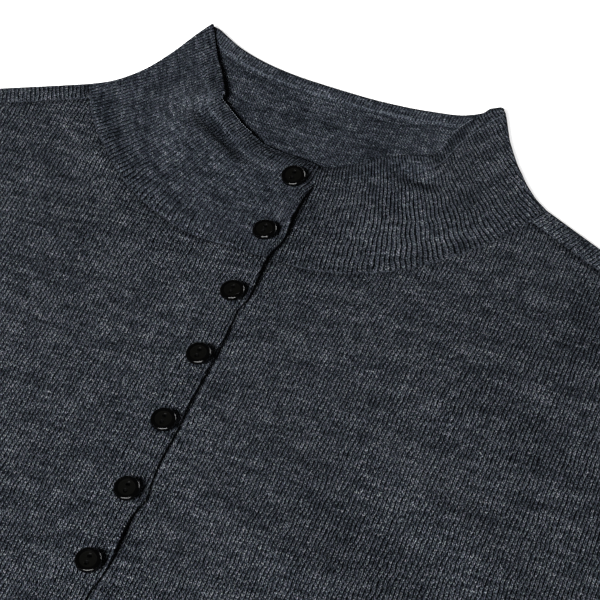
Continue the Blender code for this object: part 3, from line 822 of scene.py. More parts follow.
# At its tips the rim is nearly flat, and the back's linking ends this many columns short of them.
TIP_BULGE = 0.15
TIP_COLUMNS = 2
# The linking stitches sink into the cloth but for these stretches of x.
WELT_ROW_SEEN = {-1: (-62, -34), 1: (57, 84)}
RIM_ROW_SEEN = {-1: (-51.2, -29), 1: (55.4, 68)}
# Stitches on a rim lie this far out along its corner, in half walls.
RIM_CORNER = 0.82
# How far in a tip is drawn for each millimetre that it lies higher, and how far round it that reaches.
TIP_SLANT = 0.4
TIP_REACH = 14
# How far each tip is rounded off, and how far round it that reaches.
TIP_DROP = {-1: (-1.2, 9), 1: (2.9, 4)}
# The fronts' edges stand up off the back: y along the edge, and how much higher it stands than it lies.
STANDING_EDGES = {
    -1: (
        (12, 0), (20, 0.1), (26, 0.3), (33, 0.7), (39, 1.1),
        (46, 0.9), (58, 1.0), (68, 1.1), (76, 0.9), (84, 0),
    ),
    1: (
        (14, 0), (24, 0.5), (30, 1.6), (34, 3.0), (36, 2.6),
        (40, 0.8), (48, 0.7), (60, 0.6), (72, 0.5), (84, 0),
    ),
}
STANDING_REACH = 11
# A welt is pressed flat beside a fold, over these columns of a front and this share of half the back's
# width. Its rim gets round sooner.
FOLD_COLUMNS = (0.5, 6.5)
FOLD_SHARE = 1 / 12
FOLD_RIM_SHARE = 1 / 20
# How much of the knit's pattern a fold takes up, and where a front's neck seam ends beside it.
FOLD_TURN = 3
SEAM_END = (112, 21)
# How far up from the neck seam the body's knit runs out, from where to where it sets in towards the placket on
# the left front, and how far it goes on under the overlap.
PLAIN_FOOT = 13
PLAIN_LEFT = (42, 10)
PLAIN_UNDER = 3
# At the back neck the wales get wider by this part, between these distances from the centre.
WIDER_WALES = 0.17
WIDER_FROM = (35, 75)
# Where the collar's wales run, from measured places: x, y, the wale's width and its lean towards the centre
# front as it goes up, in degrees. The left front's are first, and the right front's are mirrored. A smooth
# surface of this order is laid through them, over x and y in this unit, and is held calm by this much.
WALE_ORDER = 4
WALE_UNIT = 100
WALE_CALM = 0.05
LEFT_WALES = (
    (2, -20, 1.7, 0),
    (4, 8, 1.6, 0),
    (12, -30, 1.75, 3),
    (28.6, -2.4, 1.62, 2),
    (36, -23, 1.78, 7),
    (45.7, 4.2, 1.5, 6),
    (58, -17, 1.89, 15),
    (60.7, 16.8, 1.6, 33),
    (69, -7, 1.93, 25),
    (66, 29, 1.83, 42),
    (71, 14, 1.84, 38),
    (78, -6, 2.1, 35),
    (76, 29.5, 1.85, 43),
    (82, 11.5, 2.0, 43),
    (82.5, 39, 1.79, 42),
    (88.5, 21, 1.9, 42),
    (95.8, 20, 1.88, 46),
    (104, 25, 1.9, 48),
    (78, 62, 1.8, 42),
    (72, 78, 1.8, 40),
)
RIGHT_WALES = (
    (2, -20, 1.7, 0),
    (4, 8, 1.6, 2),
    (14, -19, 1.6, 10),
    (27.6, -3.7, 1.8, 19),
    (39, 5.7, 1.87, 26),
    (35, -27, 1.86, 9),
    (44.6, -17, 1.75, 12),
    (58, 12, 1.85, 38),
    (67, -12, 2.05, 30),
    (77, 12, 2.0, 44),
    (80.6, -3.5, 2.1, 38),
    (93, 13, 2.1, 47),
    (70, 34, 1.85, 44),
    (82.5, 39, 1.8, 43),
    (104, 25, 1.9, 48),
    (78, 62, 1.8, 42),
    (72, 78, 1.8, 40),
)
# A front's top edge has one height for each x as far out as this.
NEAR_CENTRE = 30
# A column of the collar's grid that starts at one share of the neck seam ends at another of the top edge.
TOP_FAN = (
    (0, 0), (0.13, 0.1), (0.26, 0.21), (0.39, 0.32), (0.52, 0.41),
    (0.66, 0.5), (0.79, 0.61), (0.93, 0.8), (1, 1),
)
COLLAR_CREASES = (
    (-60, 36, 36, 24, 6, 1.5),
    (-46, 10, 152, 62, 13, 2.4),
    (-42.5, 15.5, 146, 40, 3.8, -3.0),
    (-30, 4, 150, 34, 6, 0.6),
    (-84, 34, 52, 44, 7, 0.8),
    (-70, 4, 35, 40, 8, 0.5),
    (51, 13, 150, 64, 24, 2.8),
    (53, 21, 176, 26, 4.5, -2.6),
    (52, -1, 150, 36, 8, -1.6),
    (63, 22, 60, 30, 6, 0.6),
    (88, 34, 126, 50, 7, 0.7),
    (30, -14, 20, 40, 8, 0.4),
)

shares = np.concatenate([PLAIN_ROWS, WELT_ROWS])
turned_body = WALL + (WELT - WALL) * FOLD_WELT_PART * passed(shares, *FOLD_WELT)
fold_lines, fold_aways, fold_turns = {}, {}, {}
for side in (-1, 1):
    line = curve(COLLAR_FOLD, shares)
    out_y, out = np.array(FOLD_OUT[side]).T
    line += outward(line, COLLAR_MIDDLE) * np.interp(line[:, 1], out_y, out)[:, None]
    fold_lines[side] = line * (side, 1)
    fold_aways[side] = outward(line, COLLAR_MIDDLE) * (side, 1)
    fold_turns[side] = fold_lines[side] - fold_aways[side] * (turned_body[:, None] + AIR) / 2
upper = 1.5 * turned_body + AIR


def welted(start):
    """Which of the collar's rows are in the welt, from none to all."""
    return passed(shares, start, start + WELT_EDGE)


def wall_of(near_fold, start):
    """The collar's thickness: its welt is thicker, but is pressed flat where the collar folds."""
    welt = WALL + (WELT - WALL) * welted(start)[:, None]
    return turned_body[:, None] + (welt - turned_body[:, None]) * near_fold


def settled(plan, height, side):
    """The plan of a collar stretch with its tip drawn in, so that the upper layer ends short of the lower."""
    plan = plan.copy()
    off_tip = np.hypot(plan[..., 0] - COLLAR_TIP[0] * side, plan[..., 1] - COLLAR_TIP[1])
    lowest = turned_body[-1] / 2
    drop, reach = TIP_DROP[side]
    plan[..., 1] -= TIP_SLANT * (height - lowest) * np.exp(-((off_tip / TIP_REACH) ** 2))
    plan[..., 1] -= drop * np.exp(-((off_tip / reach) ** 2))
    return plan


def wales_along(line):
    """The knit's own place along the back neck, whose wales are a little wider away from the centre."""
    steps = np.linalg.norm(np.diff(line, axis=0), axis=1)
    middles = np.abs(line[1:, 0] + line[:-1, 0]) / 2
    return np.concatenate([[0], np.cumsum(steps / (1 + WIDER_WALES * passed(middles, *WIDER_FROM)))])


def wale_terms(x, y):
    """The terms of a smooth surface over x and y, and of its slopes along x and along y."""
    x, y = np.asarray(x, float) / WALE_UNIT, np.asarray(y, float) / WALE_UNIT
    orders = range(WALE_ORDER + 1)
    powers = [(i, j) for i in orders for j in orders if 0 < i + j <= WALE_ORDER]
    surface = np.stack([x**i * y**j for i, j in powers], axis=-1)
    along_x = np.stack([i * x ** max(i - 1, 0) * y**j for i, j in powers], axis=-1)
    along_y = np.stack([j * x**i * y ** max(j - 1, 0) for i, j in powers], axis=-1)
    return surface, along_x, along_y


def wale_place(table, x, y):
    """Which wale crosses each point, in millimetres of plain knit, from a table of measured wales."""
    at_x, at_y, width, lean = np.array(table, float).T
    _, along_x, along_y = wale_terms(at_x, at_y)
    pace = WALE / width
    slopes = np.concatenate([pace * np.cos(np.radians(lean)), pace * np.sin(np.radians(lean))])
    terms = np.concatenate([along_x, along_y])
    calm = np.eye(terms.shape[1]) * WALE_CALM
    factors = np.linalg.solve(terms.T @ terms + calm, terms.T @ (slopes * WALE_UNIT))
    return wale_terms(x, y)[0] @ factors


def collar_front(side, columns, edge):
    """The plan of one front of the collar."""
    read = even(edge, EDGE_STEPS)
    x = np.broadcast_to(np.array(columns, float), (len(shares), len(columns)))
    order = np.argsort(read[:, 0] * side)
    order = order[read[order, 0] * side < NEAR_CENTRE]
    top_y = np.interp(x[0] * side, read[order, 0] * side, read[order, 1])
    near = np.dstack([x, neck_y(x) + shares[:, None] * (top_y - neck_y(x))])
    seam_end = np.array([SEAM_END]) * (side, 1)
    bottom = np.concatenate([neck_seam(side, columns[-1]), seam_end, fold_turns[side][:1]])
    along = np.linspace(0, 1, len(read))
    first = np.interp(columns[-1] * side, read[order, 0] * side, along[order])
    fan_from, fan_to = np.array(TOP_FAN).T
    tops = curve(edge, first + (1 - first) * np.interp(shares_of(bottom), fan_from, fan_to))
    tops[0], tops[-1] = near[-1, -1], fold_turns[side][-1]
    v = shares[:, None, None]
    lines = (1 - v) * bottom + v * tops
    part = (np.arange(len(bottom)) / (len(bottom) - 1))[None, :, None] ** 4
    far = lines + part * (fold_turns[side] - lines[:, -1])[:, None]
    return np.concatenate([near[:, :-1], far], axis=1)


def seen(row, stretch):
    """The part of a row of stitches that comes up to the surface, from one x to another."""
    return row[(row[:, 0] > stretch[0]) & (row[:, 0] < stretch[1])]


stretch_v = shares * COLLAR_HEIGHT
FACE, PURL, WELTED, CALM, WELTED_BACK = range(5)
in_front_welt = shares[1:] > FRONT_WELT
in_back_welt = shares[1:] > BACK_WELT
patches, looks, linked, rims, necks = [], [], [], [], []
sides = (
    (-1, RIGHT_COLUMNS[:9], RIGHT_EDGE, RIGHT_WALES),
    (1, UNDERLAP_COLUMNS + (10.5, 12), LEFT_EDGE, LEFT_WALES),
)
for side, columns, edge, wales in sides:
    plan = collar_front(side, columns, edge)
    x, y = plan[..., 0].copy(), plan[..., 1].copy()
    u = side * wale_place(wales, x * side, y)
    near_fold = passed(np.arange(u.shape[1])[::-1], *FOLD_COLUMNS)
    # The welt makes a front thicker, but not where it is pressed, and it gets thin towards its rims.
    pressed = passed(np.abs(x), *PRESSED)
    own = wall_of(near_fold * pressed, FRONT_WELT)
    layer = own + AIR
    rim = passed(shares, *RIM)[:, None] * (1 - pressed)
    if side < 0:
        rim = np.maximum(rim, passed(x, OVERLAP_EDGE - LIP_REACH, OVERLAP_EDGE) * passed(y, *LIP_THINS))
    own = own * (1 - EDGE_THINNER * rim)
    # It lies on the back, ridged and creased, and comes no closer to it than the least air.
    below = WALL + (own - WALL) * passed(y, *WELTS_MEET)
    creased = lift(x, y) + raised(x, y, COLLAR_CREASES) * passed(shares, *CREASED)[:, None]
    middle = below + AIR * (1 - EDGE_THINNER * rim) + own / 2 + creased * near_fold
    middle = np.maximum(middle, below + LEAST_AIR + own / 2)
    bulge = np.full(x.shape, SEAM_BULGE)
    bulge[-1] = TIP_BULGE + (ROUND_BULGE - TIP_BULGE) * near_fold
    thick = own.copy()
    # Its top edge stands up, straight towards the photo's viewer.
    stand_y, stand_height = np.array(STANDING_EDGES[side]).T
    from_edge = (1 - shares[:, None]) * np.linalg.norm(plan[-1] - plan[0], axis=1)
    near_edge = np.exp(-((from_edge / STANDING_REACH) ** 2))
    standing = np.interp(y[-1], stand_y, stand_height) * near_edge * near_fold
    plan += standing[..., None] * SIGHT
    middle += standing
    if side < 0:
        out, up, roll = waved(x, y)
        plan[..., 0] += out
        middle += layer * lapped(x, y) + up
        thick += roll * (1 - welted(FRONT_WELT)[:, None])
        bulge[:, 0] = ROUND_BULGE
    middle[:, -1] = upper
    flat_v = np.broadcast_to(stretch_v[:, None], x.shape)
    plan = settled(plan, middle, side)
    patches.append(patch(plan, middle, (0, 0, 1), (u, flat_v), thick, bulge))
    necks.append(on_face(patches[-1], 0, 1, 0)[len(columns):])
    own_face = FACE if side > 0 else CALM
    looks.append((np.where(in_front_welt, WELTED, own_face), np.where(in_front_welt, WELTED, PURL)))
    linked.append(seen(on_face(patches[-1], list(shares).index(FRONT_WELT) + 1), WELT_ROW_SEEN[side]))
    rim_out = plan[-1] - plan[-2]
    rim_out /= np.linalg.norm(rim_out, axis=1)[:, None]
    corner = np.column_stack([rim_out, np.ones(len(rim_out))]) * (thick[-1] / 2 * RIM_CORNER)[:, None]
    rims.append(seen(patches[-1][0][-1] + corner, RIM_ROW_SEEN[side]))
    turned = np.linspace(-FOLD_TURN, 0, FOLD_STEPS)[:, None] * side
    fold_bulge = np.where(shares == 1, TIP_BULGE, SEAM_BULGE)
    flat = (u[:, -1] - turned, stretch_v)
    made = folded(fold_lines[side], fold_aways[side], turned_body / 2, upper, flat, turned_body, fold_bulge)
    made[0][..., :2] = settled(made[0][..., :2], made[0][..., 2], side)
    patches.append(made)
    looks.append((FACE, PURL))
    fold_u = np.abs(u[:, -1]) + FOLD_TURN
half = even(BACK_NECK, COLLAR_STEPS)
bottom = np.concatenate([(half * (-1, 1))[::-1], half[1:]])
top = even(BACK_EDGE, len(bottom))
for row, end in ((bottom, 0), (top, -1)):
    row[0], row[-1] = fold_turns[-1][end], fold_turns[1][end]
plan = stretched(bottom, top, fold_turns[-1], fold_turns[1])
# The back's wales run on from the right fold, and both folds meet the pattern's repeat, so it has no break.
across = shares_of(bottom)[None] * 2 - 1
to_middle = np.round(2 * (wales_along(half)[-1] + fold_u[0]) / WALE) * WALE / 2
u = -to_middle - across * (to_middle - fold_u[:, None])
bulge = np.full(plan.shape[:2], SEAM_BULGE)
from_fold = 1 - np.abs(across)
bulge[-1] = TIP_BULGE + (ROUND_BULGE - TIP_BULGE) * passed(from_fold[0], 0, FOLD_RIM_SHARE)
flat_v = np.broadcast_to(stretch_v[:, None], plan.shape[:2])
own = wall_of(passed(from_fold, 0, FOLD_SHARE), BACK_WELT)
for side in (-1, 1):
    plan = np.where(plan[..., :1] * side > 0, settled(plan, own / 2, side), plan)
patches.append(patch(plan, own / 2, (0, 0, -1), (u, flat_v), own, bulge))
looks.append((np.where(in_back_welt, WELTED, FACE), np.where(in_back_welt, WELTED_BACK, PURL)))
linked.append(on_face(patches[-1], list(shares).index(BACK_WELT) + 1, -1, 0)[TIP_COLUMNS:-TIP_COLUMNS])
COLLAR_FACE = knit_material(
    "marl wool collar stitch", furrow=1.1, sharp=2.8, stitch=0.3, relief=0.7, tone=0.66, marl=3.1
)
WELT_FACE = knit_material(
    "marl wool turned welt", furrow=1.05, sharp=2.2, stitch=0.1, relief=0.7, tone=0.6, marl=2.4
)
CALM_FACE = knit_material(
    "marl wool collar stitch, slack", furrow=0.72, sharp=3.0, stitch=0.3, relief=0.5, tone=0.54, marl=2.2
)
WELT_BACK = knit_material(
    "marl wool turned welt, inside", furrow=0.7, sharp=2.0, stitch=0.1, relief=0.5, tone=0.57, marl=2.4
)
collar = cloth("collar_knit", patches, looks)
# The collar's knit runs out into the body's at the neck seam, and near the placket on the left front.
x, y, z = spots_of(collar.data)
on_left_front = (x > OVERLAP_EDGE - PLAIN_UNDER) & (y < COLLAR_MIDDLE[1]) & (z > LAYER)
marked(collar.data, "plain", np.maximum(
    passed(y - neck_y(x), PLAIN_FOOT, 0),
    passed(x, *PLAIN_LEFT) * on_left_front,
))
collar_looks = [COLLAR_FACE, STOCKING_BACK, WELT_FACE, CALM_FACE, WELT_BACK]
dressed(collar, collar_looks, "collar")

# Its seam, its welts and its rims are linked stitch by stitch. Sizes are a stitch's length, width and height.
STITCH_PITCH = WALE
LINK_SIZE = (1.65, 0.8, 0.3)
NECK_PITCH = 1.9
NECK_SIZE = (1.5, 1.1, 0.22)
RIM_PITCH = 1.3
RIM_SIZE = (0.8, 0.32, 0.32)
STITCH_MEASURES = ("Pitch", "Length", "Width", "Height")
YARN_LIGHT = "#5d636c"
# The rim's stitches are paler still: a painted highlight along the lit edge of the collar.
YARN_PAINTED_HIGHLIGHT = "#8a9098"


def yarn_material(name, dark, pale):
    """One strand of the marl yarn, whose fibres show as short darker and paler stretches."""
    material, tree = blank_material(name)
    place = add(tree, "ShaderNodeTexCoord")["Object"]
    grain = {"Vector": place, "Scale": 900.0, "Detail": 2.0, "Roughness": 0.7}
    fibres = add(tree, "ShaderNodeTexNoise", grain)["Fac"]
    surfaced(tree, ramp_of(tree, fibres, (0.35, dark), (0.65, pale)), WOOL_ROUGHNESS, WOOL_GLOSS, {})
    return material


def stitch_tree():
    """Geometry nodes that lay one small bead of yarn after another along the edges of a mesh of lines."""
    tree = bpy.data.node_groups.new("row of stitches", "GeometryNodeTree")
    tree.interface.new_socket("Lines", in_out="INPUT", socket_type="NodeSocketGeometry")
    for word in STITCH_MEASURES:
        tree.interface.new_socket(word, in_out="INPUT", socket_type="NodeSocketFloat")
    tree.interface.new_socket("Yarn", in_out="INPUT", socket_type="NodeSocketMaterial")
    tree.interface.new_socket("Stitches", in_out="OUTPUT", socket_type="NodeSocketGeometry")
    given = add(tree, "NodeGroupInput")
    route = add(tree, "GeometryNodeMeshToCurve", {"Mesh": given["Lines"]})[0]
    spots = add(tree, "GeometryNodeCurveToPoints", {"Curve": route, "Length": given["Pitch"]}, mode="LENGTH")
    size = add(tree, "ShaderNodeCombineXYZ", (given["Length"], given["Width"], given["Height"]))[0]
    bead = add(tree, "GeometryNodeMeshUVSphere", {"Segments": 8, "Rings": 5, "Radius": 0.5})["Mesh"]
    turned = add(tree, "FunctionNodeAlignRotationToVector", {"Vector": spots["Tangent"]}, axis="X")[0]
    laid = add(tree, "GeometryNodeInstanceOnPoints", {
        "Points": spots["Points"],
        "Instance": bead,
        "Rotation": turned,
        "Scale": size,
    })[0]
    real = add(tree, "GeometryNodeRealizeInstances", {"Geometry": laid})[0]
    smooth = add(tree, "GeometryNodeSetShadeSmooth", {"Geometry": real})[0]
    yarned = add(tree, "GeometryNodeSetMaterial", {"Geometry": smooth, "Material": given["Yarn"]})[0]
    add(tree, "NodeGroupOutput", (yarned,))
    return tree


STITCHES = stitch_tree()


def shaped(layer):
    """A mesh of its own with what an object's modifiers make."""
    bpy.context.view_layer.update()
    return bpy.data.meshes.new_from_object(layer.evaluated_get(bpy.context.evaluated_depsgraph_get()))


def stitched(name, lines, pitch, size, yarn):
    """A piece of stitches along lines given in millimetres."""
    points, edges = [], []
    for line in lines:
        edges += [(k, k + 1) for k in range(len(points), len(points) + len(line) - 1)]
        points += list(in_metres(line))
    routes = bpy.data.meshes.new("routes")
    routes.from_pydata(points, edges, [])
    layer = placed("routes", routes)
    rows = layer.modifiers.new("rows", "NODES")
    rows.node_group = STITCHES
    wanted = dict(zip(STITCH_MEASURES, np.array((pitch, *size)) * MM), Yarn=yarn)
    for socket in STITCHES.interface.items_tree:
        if socket.name in wanted:
            rows[socket.identifier] = wanted[socket.name]
    made = shaped(layer)
    bpy.data.objects.remove(layer)
    piece = placed(name, made)
    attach(piece, "root")


LINKING_YARN = yarn_material("marl wool linking yarn", YARN_MIDDLE, YARN_LIGHT)
# The rim's stitches get the paler yarn, a painted highlight along the collar's edge.
RIM_HIGHLIGHT_YARN = yarn_material("marl wool painted_highlight pale on the edge", YARN_LIGHT, YARN_PAINTED_HIGHLIGHT)
stitched("collar_linking", linked, STITCH_PITCH, LINK_SIZE, LINKING_YARN)
stitched("collar_rim_linking", rims, RIM_PITCH, RIM_SIZE, RIM_HIGHLIGHT_YARN)
SEAM_YARN = yarn_material("marl wool seam yarn", YARN_DARK, YARN_GREY)
stitched("neck_linking", necks, NECK_PITCH, NECK_SIZE, SEAM_YARN)


# Hem bands: one on the front and one on the back, of the same yarn in a fine rib, linked to the panels.
BAND_COLUMNS = 61
BAND_ROWS = 15
RIB_FACE = knit_material("marl wool one-by-one rib", furrow=1.1, sharp=2.4, stitch=0.3, relief=0.7)
for name, node, height, face, under in (
    ("hem_back_knit", "hem_back", LOW, (0, 0, -1), "floor"),
    ("hem_front_knit", "hem_front", HIGH, (0, 0, 1), "hem_back_knit"),
):
    ends = np.linspace(0, 1, BAND_ROWS)[:, None, None]
    lines = [np.linspace(np.array(end) * (-1, 1), end, BAND_COLUMNS) for end in (HEM, BAND_TOP)]
    plan = (1 - ends) * lines[0] + ends * lines[1]
    bulge = np.full(plan.shape[:2], SEAM_BULGE)
    bulge[0] = ROUND_BULGE
    rise = lift(plan[..., 0], plan[..., 1]) if height == HIGH else 0
    made = patch(plan, height + rise, face, (plan[..., 0], plan[..., 1]), WALL, bulge)
    if height == HIGH:
        seams.append(on_face(made, -1))
    band = cloth(name, [made], [(0, 0)])
    dressed(band, [RIB_FACE], node)


# Sleeves and cuffs: two flat tubes on each side, end to end. The sleeve is in stocking stitch and the cuff in
# rib, and the cuff's end is a free, round edge.
CUFF_TOP = (636, -336)
CUFF_WIDTH = 92
CUFF_END_WIDTH = 88
CUFF_LENGTH = 55
TOP_FOLD_ANGLE = -24
UNDERARM_FOLD_ANGLE = -18
CUFF_ANGLE = -48
SLEEVE_ROWS = 110
CUFF_ROWS = 15
UNDERARM_CLEAR = 1.3
# The pattern's own place is this much further on for a tube's lower side, so that the two sides differ.
OTHER_SIDE = 500


def heading(angle):
    """The unit vector in plan at an angle in degrees."""
    return np.array([math.cos(math.radians(angle)), math.sin(math.radians(angle))])


def bow(start, end, first_angle, last_angle, count):
    """Points on a smooth line that leaves start and reaches end at the given angles in degrees."""
    start, end = np.array(start, float), np.array(end, float)
    reach = np.linalg.norm(end - start)
    t = np.linspace(0, 1, count)[:, None]
    return bent(t, start, end, reach * heading(first_angle), reach * heading(last_angle))


def tube(name, start, end, top_fold, low_fold, free_end):
    """A flat tube between two fold lines, from its start line to its end line."""
    centre = (top_fold.mean(axis=0) + low_fold.mean(axis=0)) / 2
    folds = [(line, outward(line, centre)) for line in (top_fold, low_fold)]
    turns = [line - outside * fold_radius for line, outside in folds]
    start, end = start.copy(), end.copy()
    start[0], start[-1] = turns[0][0], turns[1][0]
    end[0], end[-1] = turns[0][-1], turns[1][-1]
    plan = stretched(start, end, turns[0], turns[1])
    widths = np.linalg.norm(np.diff(plan, axis=1), axis=2)
    across = np.concatenate([np.zeros((len(plan), 1)), np.cumsum(widths, axis=1)], axis=1)
    across -= across[:, -1:] / 2
    middle_line = plan[:, plan.shape[1] // 2]
    along = shares_of(middle_line) * np.linalg.norm(np.diff(middle_line, axis=0), axis=1).sum()
    down = np.broadcast_to(-along[:, None], across.shape)
    height = HIGH + lift(plan[..., 0], plan[..., 1])
    height[:, [0, -1]] = HIGH
    bulge = np.full(len(plan), SEAM_BULGE)
    if free_end:
        bulge[-1] = ROUND_BULGE
    spread = bulge[:, None] + 0 * across
    upper_side = patch(plan, height, (0, 0, 1), (across, down), WALL, spread)
    patches = [upper_side, patch(plan, LOW, (0, 0, -1), (across + OTHER_SIDE, down), WALL, spread)]
    if free_end:
        seams.append(on_face(upper_side, 0))
    for (line, outside), edge_u in zip(folds, (across[:, 0], across[:, -1])):
        turned = np.linspace(half_turn, 0, FOLD_STEPS)[:, None] * np.sign(edge_u)
        patches.append(folded(line, outside, LOW, HIGH, (edge_u + turned, -along), WALL, bulge))
    return cloth(name, patches, [(0, 1)] * 4)


along = heading(CUFF_ANGLE)
down = np.array([along[1], -along[0]])
cuff_top = np.array(CUFF_TOP, float)
cuff_low = cuff_top + down * CUFF_WIDTH
end_top = cuff_top + along * CUFF_LENGTH + down * (CUFF_WIDTH - CUFF_END_WIDTH) / 2
end_low = end_top + down * CUFF_END_WIDTH
start = armhole.copy()
start[-1] += outward(armhole[-2:], BODY_MIDDLE)[-1] * UNDERARM_CLEAR
top_fold = bow(start[0], cuff_top, TOP_FOLD_ANGLE, CUFF_ANGLE, SLEEVE_ROWS)
low_fold = bow(start[-1], cuff_low, UNDERARM_FOLD_ANGLE, CUFF_ANGLE, SLEEVE_ROWS)
wrist = np.linspace(cuff_top, cuff_low, len(start))
hand = np.linspace(end_top, end_low, len(start))
for word, side in (("left", 1), ("right", -1)):
    flip = (side, 1)
    sleeve = tube(f"sleeve_{word}_knit", start * flip, wrist * flip, top_fold * flip, low_fold * flip, False)
    dressed(sleeve, [STOCKING_FACE, STOCKING_BACK], f"sleeve_{word}")
    upper_fold = np.linspace(cuff_top, end_top, CUFF_ROWS) * flip
    lower_fold = np.linspace(cuff_low, end_low, CUFF_ROWS) * flip
    cuff = tube(f"cuff_{word}_knit", wrist * flip, hand * flip, upper_fold, lower_fold, True)
    dressed(cuff, [RIB_FACE, RIB_FACE], f"cuff_{word}")


# Linking: the shoulders, armholes, sides, hem bands and cuffs are joined loop by loop with the same yarn,
# which shows as a fine chain sunk a little into the cloth.
SEAM_SIZE = (1.6, 0.55, 0.4)
stitched("seam_linking", seams, STITCH_PITCH, SEAM_SIZE, SEAM_YARN)


# Buttons: eight round two-hole buttons of polished black resin, turned with a rounded rim and a shallow dish,
# each sewn on with black thread through its two holes, which lie along the placket.
BUTTON_COUNT = 8
FIRST_PITCH = 35.9
PITCH = 39.1
# Radius and height along a button's outline, from the middle of its face round its rim to its foot.
BUTTON_PROFILE = (
    (0, 2), (0.5, 2), (1, 2), (1.5, 2), (2, 2), (2.5, 2), (3, 2.01), (3.4, 2.03), (3.7, 2.08),
    (3.95, 2.17), (4.15, 2.28), (4.35, 2.37), (4.6, 2.42), (4.85, 2.41), (5.1, 2.33), (5.3, 2.2),
    (5.48, 2.0), (5.61, 1.75), (5.68, 1.45), (5.7, 1.1), (5.69, 0.75), (5.6, 0.45), (5.4, 0.25),
    (5.1, 0.12), (4.6, 0.04), (3.4, 0), (0, 0),
)
BUTTON_STEPS = 48
BUTTON_FOOT = 4.3
# How each button is tipped, in degrees: up at its head end, and down at the wearer's left.
BUTTON_TILTS = ((9, -1), (2, -6), (2, -6), (6, -5), (7, -1), (9, 1), (9, -1), (1, 1))
HOLE_RADIUS = 1.0
HOLE_SPACING = 3.2
DRILL_LENGTH = 10
# The groove's half width, half length and depth, and from where to where it sinks, in shares of those.
GROOVE = (0.95, 2.6, 0.1)
GROOVE_EDGE = (1.25, 0.75)
# A button's top lies higher than this, and inside this radius it is left satin.
TOP_FROM = 1.9
FACE_REACH = 3.7
THREAD_RADIUS = 0.14
THREAD_FOOT = 0.98
THREAD_RISE = 0.85
THREAD_STRANDS = (-0.28, 0, 0.28)
STRAND_STEPS = 13
STRAND_SIDES = 8
RESIN_COLOUR = "#010101"
FACE_COLOUR = "#060605"
THREAD_COLOUR = "#030303"


def plain_material(name, colour, roughness, gloss, glow=0.0):
    """One colour all over. gloss is the specular level, and glow how much light it gives off itself."""
    material, tree = blank_material(name)
    light = {"Emission Color": (1, 1, 1, 1), "Emission Strength": glow}
    surfaced(tree, linear(colour), roughness, gloss, light)
    return material


resin = plain_material("polished black resin", RESIN_COLOUR, 0.12, 0.42)
satin = plain_material("black resin, turned and left satin", FACE_COLOUR, 0.4, 0.15)
thread = plain_material("black polyester thread", THREAD_COLOUR, 0.7, 0.1)


def plain_mesh(name, mesh, *materials):
    """A mesh object, smooth, in its materials."""
    bmesh.ops.recalc_face_normals(mesh, faces=mesh.faces)
    for face in mesh.faces:
        face.smooth = True
    data = bpy.data.meshes.new(name)
    mesh.to_mesh(data)
    mesh.free()
    for material in materials:
        data.materials.append(material)
    return placed(name, data)


def in_order(data):
    """The same mesh with its points and faces in one order, because drilling leaves a new one each time."""
    spots = [tuple(vertex.co) for vertex in data.vertices]
    ranks = {old: new for new, old in enumerate(sorted(range(len(spots)), key=spots.__getitem__))}
    faces = []
    for face in data.polygons:
        corners = [ranks[corner] for corner in face.vertices]
        first = corners.index(min(corners))
        faces.append((corners[first:] + corners[:first], face.material_index))
    faces.sort()
    ordered = bpy.data.meshes.new(data.name)
    ordered.from_pydata(sorted(spots), [], [corners for corners, _ in faces])
    for material in data.materials:
        ordered.materials.append(material)
    ordered.polygons.foreach_set("material_index", [index for _, index in faces])
    ordered.polygons.foreach_set("use_smooth", [True] * len(faces))
    return ordered


def turned_button():
    """One button on its own, foot at the origin, with its groove and its holes."""
    mesh = bmesh.new()
    profile = [mesh.verts.new((radius * MM, 0, height * MM)) for radius, height in BUTTON_PROFILE]
    edges = [mesh.edges.new(pair) for pair in zip(profile, profile[1:])]
    turn = {"cent": (0, 0, 0), "axis": (0, 0, 1), "angle": 2 * math.pi}
    bmesh.ops.spin(mesh, geom=profile + edges, steps=BUTTON_STEPS, **turn)
    bmesh.ops.remove_doubles(mesh, verts=mesh.verts, dist=0.01 * MM)
    half_width, half_length, depth = GROOVE
    for vertex in mesh.verts:
        if vertex.co.z > TOP_FROM * MM:
            reach = math.hypot(vertex.co.x / MM / half_width, vertex.co.y / MM / half_length)
            vertex.co.z -= depth * MM * float(passed(reach, *GROOVE_EDGE))
    for face in mesh.faces:
        spot = face.calc_center_median() / MM
        face.material_index = int(spot.z > TOP_FROM - GROOVE[2] and math.hypot(spot.x, spot.y) < FACE_REACH)
    blank = plain_mesh("button blank", mesh, resin, satin, thread)
    drills = []
    for way in (-1, 1):
        drill = bmesh.new()
        size = {"radius1": HOLE_RADIUS * MM, "radius2": HOLE_RADIUS * MM, "depth": DRILL_LENGTH * MM}
        bmesh.ops.create_cone(drill, cap_ends=True, segments=20, **size)
        bmesh.ops.translate(drill, verts=drill.verts, vec=(0, way * HOLE_SPACING / 2 * MM, 0))
        for face in drill.faces:
            face.material_index = 2
        drills.append(plain_mesh("drill", drill, resin, satin, thread))
        hole = blank.modifiers.new("hole", "BOOLEAN")
        hole.object = drills[-1]
    drilled = in_order(shaped(blank))
    for leftover in drills + [blank]:
        bpy.data.objects.remove(leftover)
    return drilled


